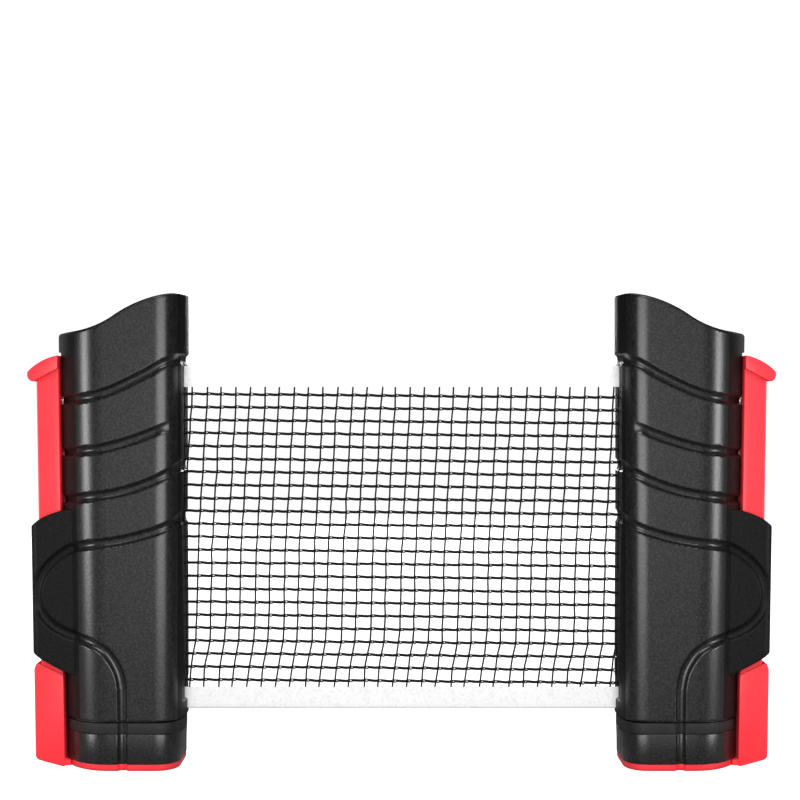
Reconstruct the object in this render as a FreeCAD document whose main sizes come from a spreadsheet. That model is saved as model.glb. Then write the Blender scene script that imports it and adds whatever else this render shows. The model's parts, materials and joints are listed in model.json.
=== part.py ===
import FreeCAD, Part
import math
import os
from FreeCAD import Placement, Rotation, Vector

# Retractable table tennis net: two spring-clamp posts and the net between them.
# +X runs along the net, -Y is the front, +Z is up. The origin lies midway between the
# posts, in the net plane, on the surface that the base plates stand on.
# The left post is modelled in place and the right one is its mirror image.

# Driving dimensions in millimetres, or degrees where the name ends in _deg.
DIMENSIONS = {
    "post_tip_x": -93.4,
    "post_width": 55.8,
    "post_half_depth": 23.0,
    "outer_flat_half": 3.0,
    "outer_corner_length": 22.0,
    "outer_corner_reach": 8.0,
    "inner_taper_length": 11.9,
    "taper_fullness": 0.688,
    "mouth_setback": 1.3,
    "mouth_bottom_z": 28.0,
    "mouth_top_z": 175.0,
    "wall": 2.5,
    "tip_wall": 3.3,
    "table_plane_z": 20.85,
    "housing_bottom_z": 21.35,
    "floor_top_z": 23.2,
    "net_room_top_z": 174.0,
    "spring_room_bottom_z": 175.6,
    "housing_limit_z": 210.0,
    "cavity_outer_x": -142.8,
    "rail_x_at_base": -144.66,
    "rail_lean_deg": 0.95,
    "rail_step": 1.5,
    "rail_step_z": 178.5,
    "dish_radius": 36.9,
    "crown_radius": 56.3,
    "dish_slope_deg": 5.5,
    "wave_slope_deg": 35.0,
    "wave_middle_x": -122.93,
    "wave_middle_z": 194.02,
    "groove_width": 4.1,
    "groove_depth": 1.4,
    "upright_groove_x": -117.7,
    "sleeve_depth": 14.5,
    "sleeve_thickness": 13.1,
    "sleeve_corner_radius": 3.5,
    "sleeve_wall": 2.65,
    "strip_gap": 0.5,
    "strip_thickness": 9.75,
    "strip_half_width": 10.0,
    "strip_clearance": 0.4,
    "block_half_width": 10.5,
    "hook_half_width": 12.5,
    "base_thickness": 2.9,
    "jaw_block_top_z": 15.8,
    "jaw_pad_top_z": 20.55,
    "jaw_inset": 0.6,
    "base_inset": 0.9,
    "base_edge_radius": 1.3,
    "upper_pad_thickness": 1.2,
    "net_height": 149.3,
    "net_bottom_z": 23.6,
    "band_width": 9.2,
    "band_thickness": 1.2,
    "mesh_thickness": 0.8,
    "cord_width": 0.9,
    "mesh_columns": 15.0,
    "mesh_rows": 18.0,
    "slot_half_width": 2.5,
    "slot_foot_half_width": 0.9,
    "slot_foot_top_z": 28.4,
    "reel_x": -116.5,
    "reel_core_radius": 7.0,
    "net_roll_radius": 17.65,
    "arbor_radius": 4.5,
    "axle_radius": 2.0,
    "axle_top_z": 185.2,
    "bush_radius": 3.4,
    "bush_bore_radius": 2.06,
    "bush_length": 7.0,
    "core_bore_radius": 2.8,
    "thrust_gap": 0.1,
    "drum_radius": 17.0,
    "drum_wall": 1.2,
    "drum_top_z": 184.2,
    "arbor_hole_radius": 5.2,
    "spiral_turns": 5.0,
    "spiral_strip": 0.5,
    "spiral_height": 6.2,
    "end_bar_radius": 3.0,
    "end_bar_x": 102.6,
    "spring_x": -139.3,
    "spring_outer_radius": 3.3,
    "spring_wire_radius": 0.5,
    "lug_ring_radius": 2.6,
    "spring_pin_z": 167.0,
    "spring_pin_radius": 1.25,
    "spring_pin_half_length": 14.0,
    "lug_eye_z": 100.0,
    "lug_half_width": 1.0,
    "lug_slot_half_width": 1.5,
    "clamp_travel": 50.0,
    "boss_radius": 3.3,
    "screw_radius": 1.5,
    "screw_clearance_radius": 1.7,
    "screw_head_radius": 2.8,
    "screw_head_height": 2.0,
    "screw_seat_depth": 8.0,
    "screw_reach": 10.0,
    "head_hole_radius": 3.1,
    "jaw_screw_length": 11.0,
}

# Centre lines of the finger grooves on the front face, as (x, z) from left to right.
FIRST_GROOVE = [
    (-151.5, 157.7), (-145.3, 158.0), (-135.1, 158.9), (-128.0, 160.6), (-121.1, 163.1),
    (-109.2, 168.9), (-103.4, 172.2), (-98.6, 174.4), (-92.0, 176.4),
]
SECOND_GROOVE = [
    (-151.5, 134.9), (-145.3, 135.4), (-135.1, 136.4), (-128.0, 137.2), (-115.1, 140.7), (-99.6, 146.5),
]
THIRD_GROOVE = [
    (-151.5, 114.6), (-135.1, 116.4), (-121.1, 118.5), (-109.2, 122.1), (-98.6, 126.9), (-92.0, 131.8),
]
# The groove that runs in from the mouth, loops round on the sleeve and turns down to the foot.
LOOP_GROOVE = [
    (-92.0, 109.3), (-98.6, 104.5), (-109.2, 100.7), (-121.1, 97.9), (-135.1, 96.0), (-140.9, 94.6),
    (-146.3, 91.6), (-151.1, 87.4), (-154.6, 82.6), (-156.3, 77.2), (-156.3, 71.8), (-154.9, 67.4),
    (-152.3, 63.8), (-148.3, 60.3), (-143.2, 57.8), (-137.2, 56.0), (-131.7, 54.2), (-126.3, 51.2),
    (-122.5, 47.1), (-119.6, 42.0), (-118.2, 36.5), (-117.7, 30.0), (-117.7, 26.0),
]
# Screws that join the two halves of a post, as (x, z).
SCREWS = [(-139.8, 178.6), (-104.8, 192.4), (-139.6, 31.5)]
# Screws that hold the lower jaw on the base plate, as x.
JAW_SCREWS = [-134.0, -104.0]

DOC = FreeCAD.newDocument("net_clamp")
PARTS = []


def make_sheet():
    """Spreadsheet with one named cell for each driving dimension."""
    sheet = DOC.addObject("Spreadsheet::Sheet", "Dims")
    for row, (name, value) in enumerate(DIMENSIONS.items(), start=1):
        sheet.set("A%d" % row, name)
        sheet.set("B%d" % row, str(value))
        sheet.setAlias("B%d" % row, name)
    DOC.recompute()
    return sheet


SHEET = make_sheet()


def dim(name):
    return float(getattr(SHEET, name))


def bind(item, settings):
    """Tie properties of an object to expressions; a bare word is a cell of the sheet."""
    for prop, expression in settings.items():
        text = str(expression)
        for name in sorted(DIMENSIONS, key=len, reverse=True):
            text = swap_word(text, name)
        item.setExpression(prop, text)


def swap_word(text, name):
    """Put the sheet's name before each whole word that is one of its cells."""
    pieces = []
    rest = text
    while name in rest:
        before, rest = rest.split(name, 1)
        whole = not before[-1:].isalnum() and before[-1:] not in ("_", ".")
        whole = whole and not rest[:1].isalnum() and rest[:1] != "_"
        pieces.append(before + ("Dims." if whole else "") + name)
    return "".join(pieces) + rest


def finish(item, label):
    """Name a finished sub-part and put it on the list of files."""
    item.Label = label
    PARTS.append(item)
    return item


# Outlines

def line(start, end):
    return Part.LineSegment(Vector(*start, 0), Vector(*end, 0))


def polygon(points):
    return [line(a, b) for a, b in zip(points, points[1:] + points[:1])]


def bend(start, *controls):
    """Bezier curve from start to the last point, drawn towards the points between them."""
    curve = Part.BezierCurve()
    curve.setPoles([Vector(*point, 0) for point in (start, *controls)])
    return curve.toBSpline()


def arc(start, middle, end):
    return Part.Arc(Vector(*start, 0), Vector(*middle, 0), Vector(*end, 0))


def smooth(points):
    curve = Part.BSplineCurve()
    curve.interpolate([Vector(*point, 0) for point in points])
    return curve


def ring_arc(centre, radius, start_deg, end_deg):
    def point(angle):
        turn = math.radians(angle)
        return (centre[0] + radius * math.cos(turn), centre[1] + radius * math.sin(turn))

    return arc(point(start_deg), point((start_deg + end_deg) / 2), point(end_deg))


def rail_x(z, offset=0.0):
    """X of the leaning face that the slider runs along, at a height."""
    return dim("rail_x_at_base") - z * math.tan(math.radians(dim("rail_lean_deg"))) - offset


def half_section(inset=0.0, tip_inset=0.0):
    """Front half of the post's plan outline, open along the net plane.

    A long outer corner and a full, round inner end meet the flat front face smoothly.
    """
    depth, flat = dim("post_half_depth") - inset, dim("outer_flat_half")
    outer = dim("post_tip_x") - dim("post_width")
    left, tip = outer + inset, dim("post_tip_x") - tip_inset
    corner = outer + dim("outer_corner_length")
    taper = dim("post_tip_x") - dim("inner_taper_length")
    full = dim("taper_fullness")
    return [
        line((left, 0), (left, -flat)),
        bend((left, -flat), (left + dim("outer_corner_reach"), -depth), (corner, -depth)),
        line((corner, -depth), (taper, -depth)),
        bend((taper, -depth), (taper + full * (tip - taper), -depth), (tip, -full * depth), (tip, 0)),
    ]


def flipped(edges):
    """The same edges mirrored across the net plane."""
    copies = []
    for edge in edges:
        copy = edge.copy()
        copy.mirror(Vector(0, 0, 0), Vector(1, 0, 0))
        copies.append(copy)
    return copies


def closed_half(inset=0.0, tip_inset=0.0):
    edges = half_section(inset, tip_inset)
    tip = (dim("post_tip_x") - tip_inset, 0)
    left = edges[0].StartPoint
    return edges + [line(tip, (left.x, left.y))]


def full_section(inset, tip_inset):
    edges = half_section(inset, tip_inset)
    return edges + flipped(edges)


def room_section():
    """Corners of the front half of the rooms, in straight runs inside the wall."""
    depth = dim("post_half_depth") - dim("wall")
    left, tip = dim("cavity_outer_x"), dim("post_tip_x") - dim("tip_wall")
    taper = dim("post_tip_x") - dim("inner_taper_length")
    return [
        (left, 0), (left, -8.0), (left + 3.8, -15.0), (left + 10.3, -depth),
        (taper, -depth), (taper + 5.1, -depth + 2.9), (tip - 0.3, -11.0), (tip, 0),
    ]


def wave_outline(drop=0.0):
    """Everything above the post's top edge: a dish that sweeps up into a crown."""
    low = math.radians(dim("dish_slope_deg"))
    steep = math.radians(dim("wave_slope_deg"))
    middle = (low + steep) / 2
    x_mid, z_mid = dim("wave_middle_x"), dim("wave_middle_z") - drop
    dish, crown = dim("dish_radius"), dim("crown_radius")

    def dish_point(angle):
        return (x_mid - dish * (math.sin(steep) - math.sin(angle)),
                z_mid - dish * (math.cos(angle) - math.cos(steep)))

    def crown_point(angle):
        return (x_mid + crown * (math.sin(steep) - math.sin(angle)),
                z_mid + crown * (math.cos(angle) - math.cos(steep)))

    start = dish_point(low)
    far_left = (dim("post_tip_x") - dim("post_width") - 20,)
    far_left += (start[1] - (start[0] - far_left[0]) * math.tan(low),)
    apex = crown_point(0)
    top = dim("housing_limit_z") + 10
    return [
        line(far_left, start),
        arc(start, dish_point(middle), dish_point(steep)),
        arc(crown_point(steep), crown_point(steep / 2), apex),
        line(apex, (apex[0] + 20, apex[1])),
        line((apex[0] + 20, apex[1]), (apex[0] + 20, top)),
        line((apex[0] + 20, top), (far_left[0], top)),
        line((far_left[0], top), far_left),
    ]


def rail_wedge(inward=0.0):
    """Everything outside the leaning rail face, which steps out above the slider's hook."""
    far = dim("post_tip_x") - dim("post_width") - 20
    top, step = dim("housing_limit_z") + 10, dim("rail_step_z")
    ledge = dim("rail_step") - inward
    return polygon([
        (far, -10), (rail_x(-10, -inward), -10), (rail_x(step, -inward), step),
        (rail_x(step, ledge), step), (rail_x(top, ledge), top), (far, top),
    ])


def band(points, width):
    """Closed strip of even width along a smooth centre line."""
    sides = ([], [])
    for index, point in enumerate(points):
        before = points[max(index - 1, 0)]
        after = points[min(index + 1, len(points) - 1)]
        dx, dz = after[0] - before[0], after[1] - before[1]
        step = width / 2 / math.hypot(dx, dz)
        sides[0].append((point[0] - dz * step, point[1] + dx * step))
        sides[1].append((point[0] + dz * step, point[1] - dx * step))
    return [
        smooth(sides[0]), line(sides[0][-1], sides[1][-1]),
        smooth(sides[1]), line(sides[1][0], sides[0][0]),
    ]


# Features

def new_body(name):
    return DOC.addObject("PartDesign::Body", name)


def sketch(body, role, edges, offset=None):
    """Sketch on one of the body's own origin planes, moved along the plane's normal."""
    item = body.newObject("Sketcher::SketchObject", body.Name + "_outline")
    plane = [f for f in body.Origin.OriginFeatures if f.Role == role][0]
    item.AttachmentSupport = (plane, [""])
    item.MapMode = "FlatFace"
    if offset is not None:
        bind(item, {"AttachmentOffset.Base.z": offset})
    for edge in edges:
        item.addGeometry(edge)
    return item


def grow(body, kind, outline, length, both_ways=False, backwards=False):
    """Pad or Pocket of an outline; the volume has to change the right way."""
    DOC.recompute()
    before = body.Shape.Volume if kind == "Pocket" else 0.0
    feature = body.newObject("PartDesign::" + kind, body.Name + "_" + kind.lower())
    feature.Profile = outline
    bind(feature, {"Length": length})
    feature.SideType = "Symmetric" if both_ways else "One side"
    feature.Reversed = backwards
    DOC.recompute()
    if kind == "Pocket" and not body.Shape.Volume < before - 0.01:
        raise RuntimeError("%s cut nothing" % feature.Name)
    return feature


def pad(body, outline, length, **options):
    return grow(body, "Pad", outline, length, **options)


def pocket(body, outline, length, **options):
    return grow(body, "Pocket", outline, length, **options)


def prism(name, edges, length):
    """Solid that runs from the net plane to the front, over an outline in x and z."""
    outline = DOC.addObject("Sketcher::SketchObject", name + "_outline")
    outline.Placement = Placement(Vector(0, 0, 0), Rotation(Vector(1, 0, 0), 90))
    for edge in edges:
        outline.addGeometry(edge)
    item = DOC.addObject("Part::Extrusion", name)
    item.Base = outline
    item.DirMode = "Normal"
    item.Solid = True
    bind(item, {"LengthFwd": length})
    return item


def cylinder(name, radius, height, base, axis="z"):
    """Cylinder from a base point along z, or along y towards the front or the rear."""
    item = DOC.addObject("Part::Cylinder", name)
    turn = {"z": 0, "front": 90, "rear": -90}[axis]
    item.Placement = Placement(Vector(0, 0, 0), Rotation(Vector(1, 0, 0), turn))
    bind(item, {"Radius": radius, "Height": height})
    bind(item, {"Placement.Base.x": base[0], "Placement.Base.y": base[1], "Placement.Base.z": base[2]})
    return item


def block(name, size, base):
    item = DOC.addObject("Part::Box", name)
    bind(item, {"Length": size[0], "Width": size[1], "Height": size[2]})
    bind(item, {"Placement.Base.x": base[0], "Placement.Base.y": base[1], "Placement.Base.z": base[2]})
    return item


def cone(name, wide, narrow, height, base):
    item = DOC.addObject("Part::Cone", name)
    bind(item, {"Radius1": wide, "Radius2": narrow, "Height": height})
    bind(item, {"Placement.Base.x": base[0], "Placement.Base.y": base[1], "Placement.Base.z": base[2]})
    return item


def fuse(name, items):
    item = DOC.addObject("Part::MultiFuse", name)
    item.Shapes = items
    return item


def common(name, items):
    item = DOC.addObject("Part::MultiCommon", name)
    item.Shapes = items
    return item


def cut(name, base, tools):
    item = DOC.addObject("Part::Cut", name)
    item.Base = base
    item.Tool = tools[0] if len(tools) == 1 else fuse(name + "_tools", tools)
    return item


def mirrored(name, source, normal):
    item = DOC.addObject("Part::Mirroring", name)
    item.Source = source
    item.Normal = Vector(*normal)
    return item


def mirror_to_right(item):
    """The right post's copy of a left sub-part."""
    label = item.Label.replace("left_", "right_", 1)
    return finish(mirrored(label, item, (1, 0, 0)), label)


# Housing of a post

def sleeve_outline():
    """The guide sleeve seen from the front: a shoulder above and a swept foot below."""
    right = dim("cavity_outer_x") + 1.3
    thick = dim("sleeve_thickness")
    top, foot = 103.9, 48.6
    return [
        line((rail_x(foot, thick), foot), (rail_x(top, thick), top)),
        arc((rail_x(top, thick), top), (-152.0, 108.3), (right, 111.2)),
        line((right, 111.2), (right, 39.3)),
        arc((right, 39.3), (-151.3, 44.4), (rail_x(foot, thick), foot)),
    ]


def mouth_outline():
    """The strip of the inner end that is cut back to a face round the net slot.

    The face is upright in its upper part and leans out below, down to a small step.
    """
    tip, back = dim("post_tip_x"), dim("mouth_setback")
    bottom, top = dim("mouth_bottom_z"), dim("mouth_top_z")
    return polygon([
        (tip - back + 0.3, bottom), (tip + 5, bottom), (tip + 5, top), (tip - back, top),
        (tip - back, 112.0), (tip - 0.3, bottom + 10), (tip - back + 0.3, bottom + 8),
    ])


def housing_form():
    """Solid outer form of the front half: plan section, wave top, rail face, mouth and sleeve."""
    body = new_body("housing_form")
    pad(body, sketch(body, "XY_Plane", closed_half(), "housing_bottom_z"),
        "housing_limit_z - housing_bottom_z")
    for outline in (wave_outline(), rail_wedge(), mouth_outline()):
        pocket(body, sketch(body, "XZ_Plane", outline), "post_half_depth + 5", backwards=True)
    sleeve = pad(body, sketch(body, "XZ_Plane", sleeve_outline()), "sleeve_depth")
    corner = [
        "Edge%d" % (number + 1)
        for number, edge in enumerate(sleeve.Shape.Edges)
        if edge.Length > 50
        and abs(edge.CenterOfMass.y + dim("sleeve_depth")) < 0.01
        and edge.CenterOfMass.x < rail_x(75, dim("sleeve_thickness") - 1)
    ]
    rounding = body.newObject("PartDesign::Fillet", "sleeve_corner")
    rounding.Base = (sleeve, corner)
    bind(rounding, {"Radius": "sleeve_corner_radius"})
    DOC.recompute()
    return body


def groove_cutter():
    """All the grooves of one half, as channels of even depth that follow the surface."""
    outer = new_body("groove_outer")
    pad(outer, sketch(outer, "XY_Plane", closed_half(-2.0, -2.0), "0"), "housing_limit_z")
    outer_sleeve = prism("groove_outer_sleeve", sleeve_outline(), "post_half_depth")
    depth = dim("groove_depth")
    inner = new_body("groove_inner")
    section = closed_half(depth, dim("mouth_setback") + 0.9)
    pad(inner, sketch(inner, "XY_Plane", section, "0"), "housing_limit_z")
    pocket(inner, sketch(inner, "XZ_Plane", rail_wedge(depth)), "post_half_depth + 5", backwards=True)
    inner_sleeve = prism("groove_inner_sleeve", sleeve_outline(), "sleeve_depth - groove_depth")
    skin = cut("groove_skin", fuse("groove_skin_outside", [outer, outer_sleeve]), [inner, inner_sleeve])
    width = dim("groove_width")
    x = dim("upright_groove_x")
    upright = polygon([(x - width / 2, 15), (x + width / 2, 15), (x + width / 2, 27), (x - width / 2, 27)])
    outlines = {
        "first_groove": band(FIRST_GROOVE, width),
        "second_groove": band(SECOND_GROOVE, width),
        "third_groove": band(THIRD_GROOVE, width),
        "loop_groove": band(LOOP_GROOVE, width),
        "upright_groove": upright,
    }
    bands = [prism(name, edges, "post_half_depth + 5") for name, edges in outlines.items()]
    return common("groove_cutter", [fuse("groove_bands", bands), skin])


def housing_rooms():
    """The two rooms inside one half: the net room below and the rewind room above."""
    net_room = new_body("net_room")
    pad(net_room, sketch(net_room, "XY_Plane", polygon(room_section()), "floor_top_z"),
        "net_room_top_z - floor_top_z")
    rewind_room = new_body("rewind_room")
    pad(rewind_room, sketch(rewind_room, "XY_Plane", polygon(room_section()), "spring_room_bottom_z"),
        "housing_limit_z - spring_room_bottom_z")
    pocket(rewind_room, sketch(rewind_room, "XZ_Plane", wave_outline(dim("wall"))),
           "post_half_depth + 5", backwards=True)
    return [net_room, rewind_room]


def housing_openings():
    """Channels in one half: net slot, slider channel, lug slot, axle, arbor and pad seats."""
    tip = dim("post_tip_x")
    slot = polygon([
        (tip - 8, dim("floor_top_z")), (tip + 5, dim("floor_top_z")),
        (tip + 5, dim("net_room_top_z")), (tip - 8, dim("net_room_top_z")),
    ])
    foot = dim("slot_foot_top_z")
    wide = polygon([
        (tip - 8, foot), (tip + 5, foot),
        (tip + 5, dim("net_room_top_z")), (tip - 8, dim("net_room_top_z")),
    ])
    channel_wall = dim("sleeve_thickness") - dim("sleeve_wall")
    channel = polygon([
        (rail_x(30, channel_wall), 30), (rail_x(30), 30),
        (rail_x(125), 125), (rail_x(125, channel_wall), 125),
    ])
    low = dim("lug_eye_z") - dim("clamp_travel") - 4.5
    high = dim("lug_eye_z") + 3.5
    inside = dim("cavity_outer_x") + 3
    lug_slot = polygon([(rail_x(low, 1), low), (inside, low), (inside, high), (rail_x(high, 1), high)])
    pad_seat = new_body("upper_pad_seat")
    pad(pad_seat, sketch(pad_seat, "XY_Plane", polygon(room_section()), "table_plane_z"),
        "upper_pad_thickness")
    return [
        prism("net_slot_foot", slot, "slot_foot_half_width"),
        prism("net_slot", wide, "slot_half_width"),
        prism("slider_channel", channel, "strip_half_width + strip_clearance"),
        prism("lug_slot", lug_slot, "lug_slot_half_width"),
        cylinder("axle_seat", "axle_radius", "6", ("reel_x", "0", "table_plane_z")),
        cylinder("arbor_hole", "arbor_hole_radius", "6", ("reel_x", "0", "net_room_top_z - 2")),
        pad_seat,
    ]


def pin_bosses(form):
    """Posts moulded on the inside of one half, for the screws and the spring pin."""
    posts = [
        cylinder("screw_boss", "boss_radius", "post_half_depth", (x, "0", z), "front")
        for x, z in SCREWS
    ]
    posts.append(cylinder("pin_boss", "boss_radius", "post_half_depth - 7",
                          ("spring_x", "-7", "spring_pin_z"), "front"))
    return common("bosses", [fuse("boss_posts", posts), form])


def pin_hole():
    return cylinder("pin_hole", "spring_pin_radius", "spring_pin_half_length",
                    ("spring_x", "0", "spring_pin_z"), "front")


def build_shells():
    """Front and rear halves of the left housing."""
    form = housing_form()
    hollow = cut("housing_hollow", form, housing_rooms() + [groove_cutter()])
    blank = fuse("housing_with_bosses", [hollow, pin_bosses(form)])
    plain = cut("housing_blank", blank, housing_openings() + [pin_hole()])
    pilots = [
        cylinder("pilot_hole", "screw_radius", "screw_reach", (x, "0", z), "front")
        for x, z in SCREWS
    ]
    front = finish(cut("left_front_shell", plain, pilots), "left_front_shell")
    passages = []
    for x, z in SCREWS:
        passages.append(cylinder("screw_passage", "screw_clearance_radius", "post_half_depth",
                                 (x, "0", z), "front"))
        passages.append(cylinder("head_hole", "head_hole_radius", "post_half_depth",
                                 (x, "-screw_seat_depth", z), "front"))
    rear = mirrored("left_rear_shell", cut("rear_half", plain, passages), (0, 1, 0))
    return [front, finish(rear, "left_rear_shell")]


def build_shell_screws():
    screws = []
    for x, z in SCREWS:
        screws.append(cylinder("screw_shank", "screw_radius", "screw_seat_depth + screw_reach",
                               (x, "screw_seat_depth", z), "front"))
        screws.append(cylinder("screw_head", "screw_head_radius", "screw_head_height",
                               (x, "screw_seat_depth + screw_head_height", z), "front"))
    return finish(fuse("left_shell_screws", screws), "left_shell_screws")


def build_spring_pin():
    pin = cylinder("left_spring_pin", "spring_pin_radius", "2 * spring_pin_half_length",
                   ("spring_x", "spring_pin_half_length", "spring_pin_z"), "front")
    return finish(pin, "left_spring_pin")


def build_upper_pad():
    """Thin rubber pad let into the underside of the housing."""
    body = new_body("left_upper_pad")
    front = room_section()
    rear = [(x, -y) for x, y in front[-2:0:-1]]
    pad(body, sketch(body, "XY_Plane", polygon(front[1:-1] + rear), "table_plane_z"), "upper_pad_thickness")
    return finish(body, "left_upper_pad")


# Sliding clamp of a post

def jaw_layer(name, inset, bottom, height):
    """Slab with the post's plan outline, cut off at the rail face, with the upright groove."""
    body = new_body(name)
    pad(body, sketch(body, "XY_Plane", full_section(inset, inset), bottom), height)
    depth = "2 * post_half_depth + 10"
    pocket(body, sketch(body, "XZ_Plane", rail_wedge()), depth, both_ways=True)
    x, width = dim("upright_groove_x"), dim("groove_width")
    near = dim("post_half_depth") - dim("groove_depth")
    for side in (-1, 1):
        notch = polygon([
            (x - width / 2, side * near), (x + width / 2, side * near),
            (x + width / 2, side * (near + 5)), (x - width / 2, side * (near + 5)),
        ])
        pocket(body, sketch(body, "XY_Plane", notch, bottom), height, backwards=True)
    return body


def slider_outlines():
    """Front outlines of the slider: lower block, strip and thumb hook."""
    gap, thick = dim("strip_gap"), dim("strip_thickness")
    wide = dim("sleeve_thickness")
    lower_block = [
        line((rail_x(0, gap), 0), (rail_x(0, gap) - 1.0, 0)),
        line((rail_x(0, gap) - 1.0, 0), (rail_x(3.2, wide) + 1.0, 2.9)),
        line((rail_x(3.2, wide) + 1.0, 2.9), (rail_x(4.0, wide), 4.0)),
        line((rail_x(4.0, wide), 4.0), (rail_x(42.4, wide), 42.4)),
        arc((rail_x(42.4, wide), 42.4), (-157.9, 44.2), (-156.4, 44.5)),
        line((-156.4, 44.5), (-147.3, 40.3)),
        arc((-147.3, 40.3), (-146.3, 39.7), (rail_x(38.6, gap), 38.6)),
        line((rail_x(38.6, gap), 38.6), (rail_x(0, gap), 0)),
    ]
    strip = polygon([
        (rail_x(30, gap), 30), (rail_x(172, gap), 172),
        (rail_x(168, gap + thick), 168), (rail_x(30, gap + thick), 30),
    ])
    inner = rail_x(177, gap)
    hook = [
        arc((-161.2, 170.2), (-155.1, 174.8), (inner, 177.3)),
        line((inner, 177.3), (inner, 171.4)),
        line((inner, 171.4), (-158.1, 165.8)),
        arc((-158.1, 165.8), (-161.0, 167.2), (-161.2, 170.2)),
    ]
    return lower_block, strip, hook


def build_slider():
    """Red moulding: base plate, lower block, strip and thumb hook in one piece."""
    inset = dim("base_inset")
    body = new_body("slider_form")
    plate = pad(body, sketch(body, "XY_Plane", full_section(inset, inset + 0.4), "0"), "base_thickness")
    rim = body.newObject("PartDesign::Fillet", "base_rim")
    rim.Base = (plate, [
        "Edge%d" % (number + 1)
        for number, edge in enumerate(plate.Shape.Edges)
        if edge.BoundBox.ZMax < 0.01
    ])
    bind(rim, {"Radius": "base_edge_radius"})
    DOC.recompute()
    pocket(body, sketch(body, "XZ_Plane", rail_wedge()), "2 * post_half_depth + 10", both_ways=True)
    lower_block, strip, hook = slider_outlines()
    pad(body, sketch(body, "XZ_Plane", lower_block), "2 * block_half_width", both_ways=True)
    low, high = 0.6, dim("base_thickness")
    bridge = polygon([(rail_x(0, 2), low), (rail_x(0, -2), low), (rail_x(0, -2), high), (rail_x(0, 2), high)])
    pad(body, sketch(body, "XZ_Plane", bridge), "2 * block_half_width", both_ways=True)
    pad(body, sketch(body, "XZ_Plane", strip), "2 * strip_half_width", both_ways=True)
    pad(body, sketch(body, "XZ_Plane", hook), "2 * hook_half_width", both_ways=True)
    pocket(body, sketch(body, "XZ_Plane", lug_root()), "2 * lug_half_width", both_ways=True)
    tools = []
    for x in JAW_SCREWS:
        tools.append(cylinder("jaw_screw_hole", "screw_clearance_radius", "base_thickness", (x, "0", "0")))
        tools.append(cone("jaw_screw_sink", "screw_head_radius + 0.2", "screw_clearance_radius",
                          "screw_head_height - 0.3", (x, "0", "0")))
    x, width = dim("upright_groove_x"), dim("groove_width")
    for side in (-1, 1):
        y = side * (dim("post_half_depth") - 0.2) - 2.0
        tools.append(block("base_notch", (str(width), "4", "base_thickness"), (x - width / 2, y, "0")))
    return finish(cut("left_clamp_slider", body, tools), "left_clamp_slider")


def lug_root():
    """Part of the lug that is let into the strip."""
    z = dim("lug_eye_z")
    left, right = rail_x(z, dim("strip_thickness") - 2.5), rail_x(z, dim("strip_gap") - 0.5)
    return polygon([(left, z - 3), (right, z - 3), (right, z + 3), (left, z + 3)])


def build_spring_lug():
    """Steel lug from the strip through the wall, with an eye for the spring."""
    z = dim("lug_eye_z")
    left = rail_x(z, dim("strip_thickness") - 2.5)
    eye = dim("spring_x")
    outline = [
        line((left, z - 3), (eye, z - 3)),
        ring_arc((eye, z), 3.0, -90, 90),
        line((eye, z + 3), (left, z + 3)),
        line((left, z + 3), (left, z - 3)),
    ]
    body = new_body("lug_form")
    pad(body, sketch(body, "XZ_Plane", outline), "2 * lug_half_width", both_ways=True)
    eye_hole = cylinder("lug_eye", "spring_wire_radius + 0.5", "10", ("spring_x", "5", "lug_eye_z"), "front")
    return finish(cut("left_spring_lug", body, [eye_hole]), "left_spring_lug")


def build_jaw():
    """Black lower jaw and its rubber pad."""
    layer = jaw_layer("jaw_block_form", dim("jaw_inset"), "base_thickness",
                      "jaw_block_top_z - base_thickness")
    pilots = [
        cylinder("jaw_pilot", "screw_radius", "jaw_screw_length - base_thickness", (x, "0", "base_thickness"))
        for x in JAW_SCREWS
    ]
    jaw = finish(cut("left_jaw_block", layer, pilots), "left_jaw_block")
    rubber = jaw_layer("left_jaw_pad", dim("jaw_inset"), "jaw_block_top_z",
                       "jaw_pad_top_z - jaw_block_top_z")
    return [jaw, finish(rubber, "left_jaw_pad")]


def build_jaw_screws():
    screws = []
    for x in JAW_SCREWS:
        screws.append(cylinder("jaw_screw_shank", "screw_radius", "jaw_screw_length - 0.2", (x, "0", "0.2")))
        screws.append(cone("jaw_screw_head", "screw_head_radius", "screw_radius",
                           "screw_head_height - 0.3", (x, "0", "0.2")))
    return finish(fuse("left_jaw_screws", screws), "left_jaw_screws")


def build_clamp_spring():
    """Close-wound tension spring that pulls the lug, and the clamp with it, up to the pin."""
    wire, outer = dim("spring_wire_radius"), dim("spring_outer_radius")
    pin_ring = "spring_pin_radius + spring_wire_radius + 0.05"
    body = new_body("spring_turns")
    low, high = dim("lug_eye_z") + 2 * dim("lug_ring_radius") + 2, dim("spring_pin_z") - 5
    profile = [
        (0, low), (outer, low), (outer, high), (0, high), (0, high - 2 * wire),
        (outer - 2 * wire, high - 2 * wire), (outer - 2 * wire, low + 2 * wire), (0, low + 2 * wire),
    ]
    outline = sketch(body, "XZ_Plane", polygon(profile))
    feature = body.newObject("PartDesign::Revolution", "spring_turned")
    feature.Profile = outline
    feature.ReferenceAxis = (outline, ["V_Axis"])
    feature.Angle = 360
    DOC.recompute()
    bind(body, {"Placement.Base.x": "spring_x"})
    pieces = [
        body,
        ring("upper_loop", pin_ring, "spring_wire_radius", "spring_pin_z", "y"),
        cylinder("upper_stem", "spring_wire_radius - 0.1", "4", ("spring_x", "0", "spring_pin_z - 5.8")),
        ring("lower_loop", "lug_ring_radius", "spring_wire_radius", "lug_eye_z + lug_ring_radius", "x"),
        cylinder("lower_stem", "spring_wire_radius - 0.1", "2.8",
                 ("spring_x", "0", "lug_eye_z + 2 * lug_ring_radius")),
    ]
    return finish(fuse("left_clamp_spring", pieces), "left_clamp_spring")


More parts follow.
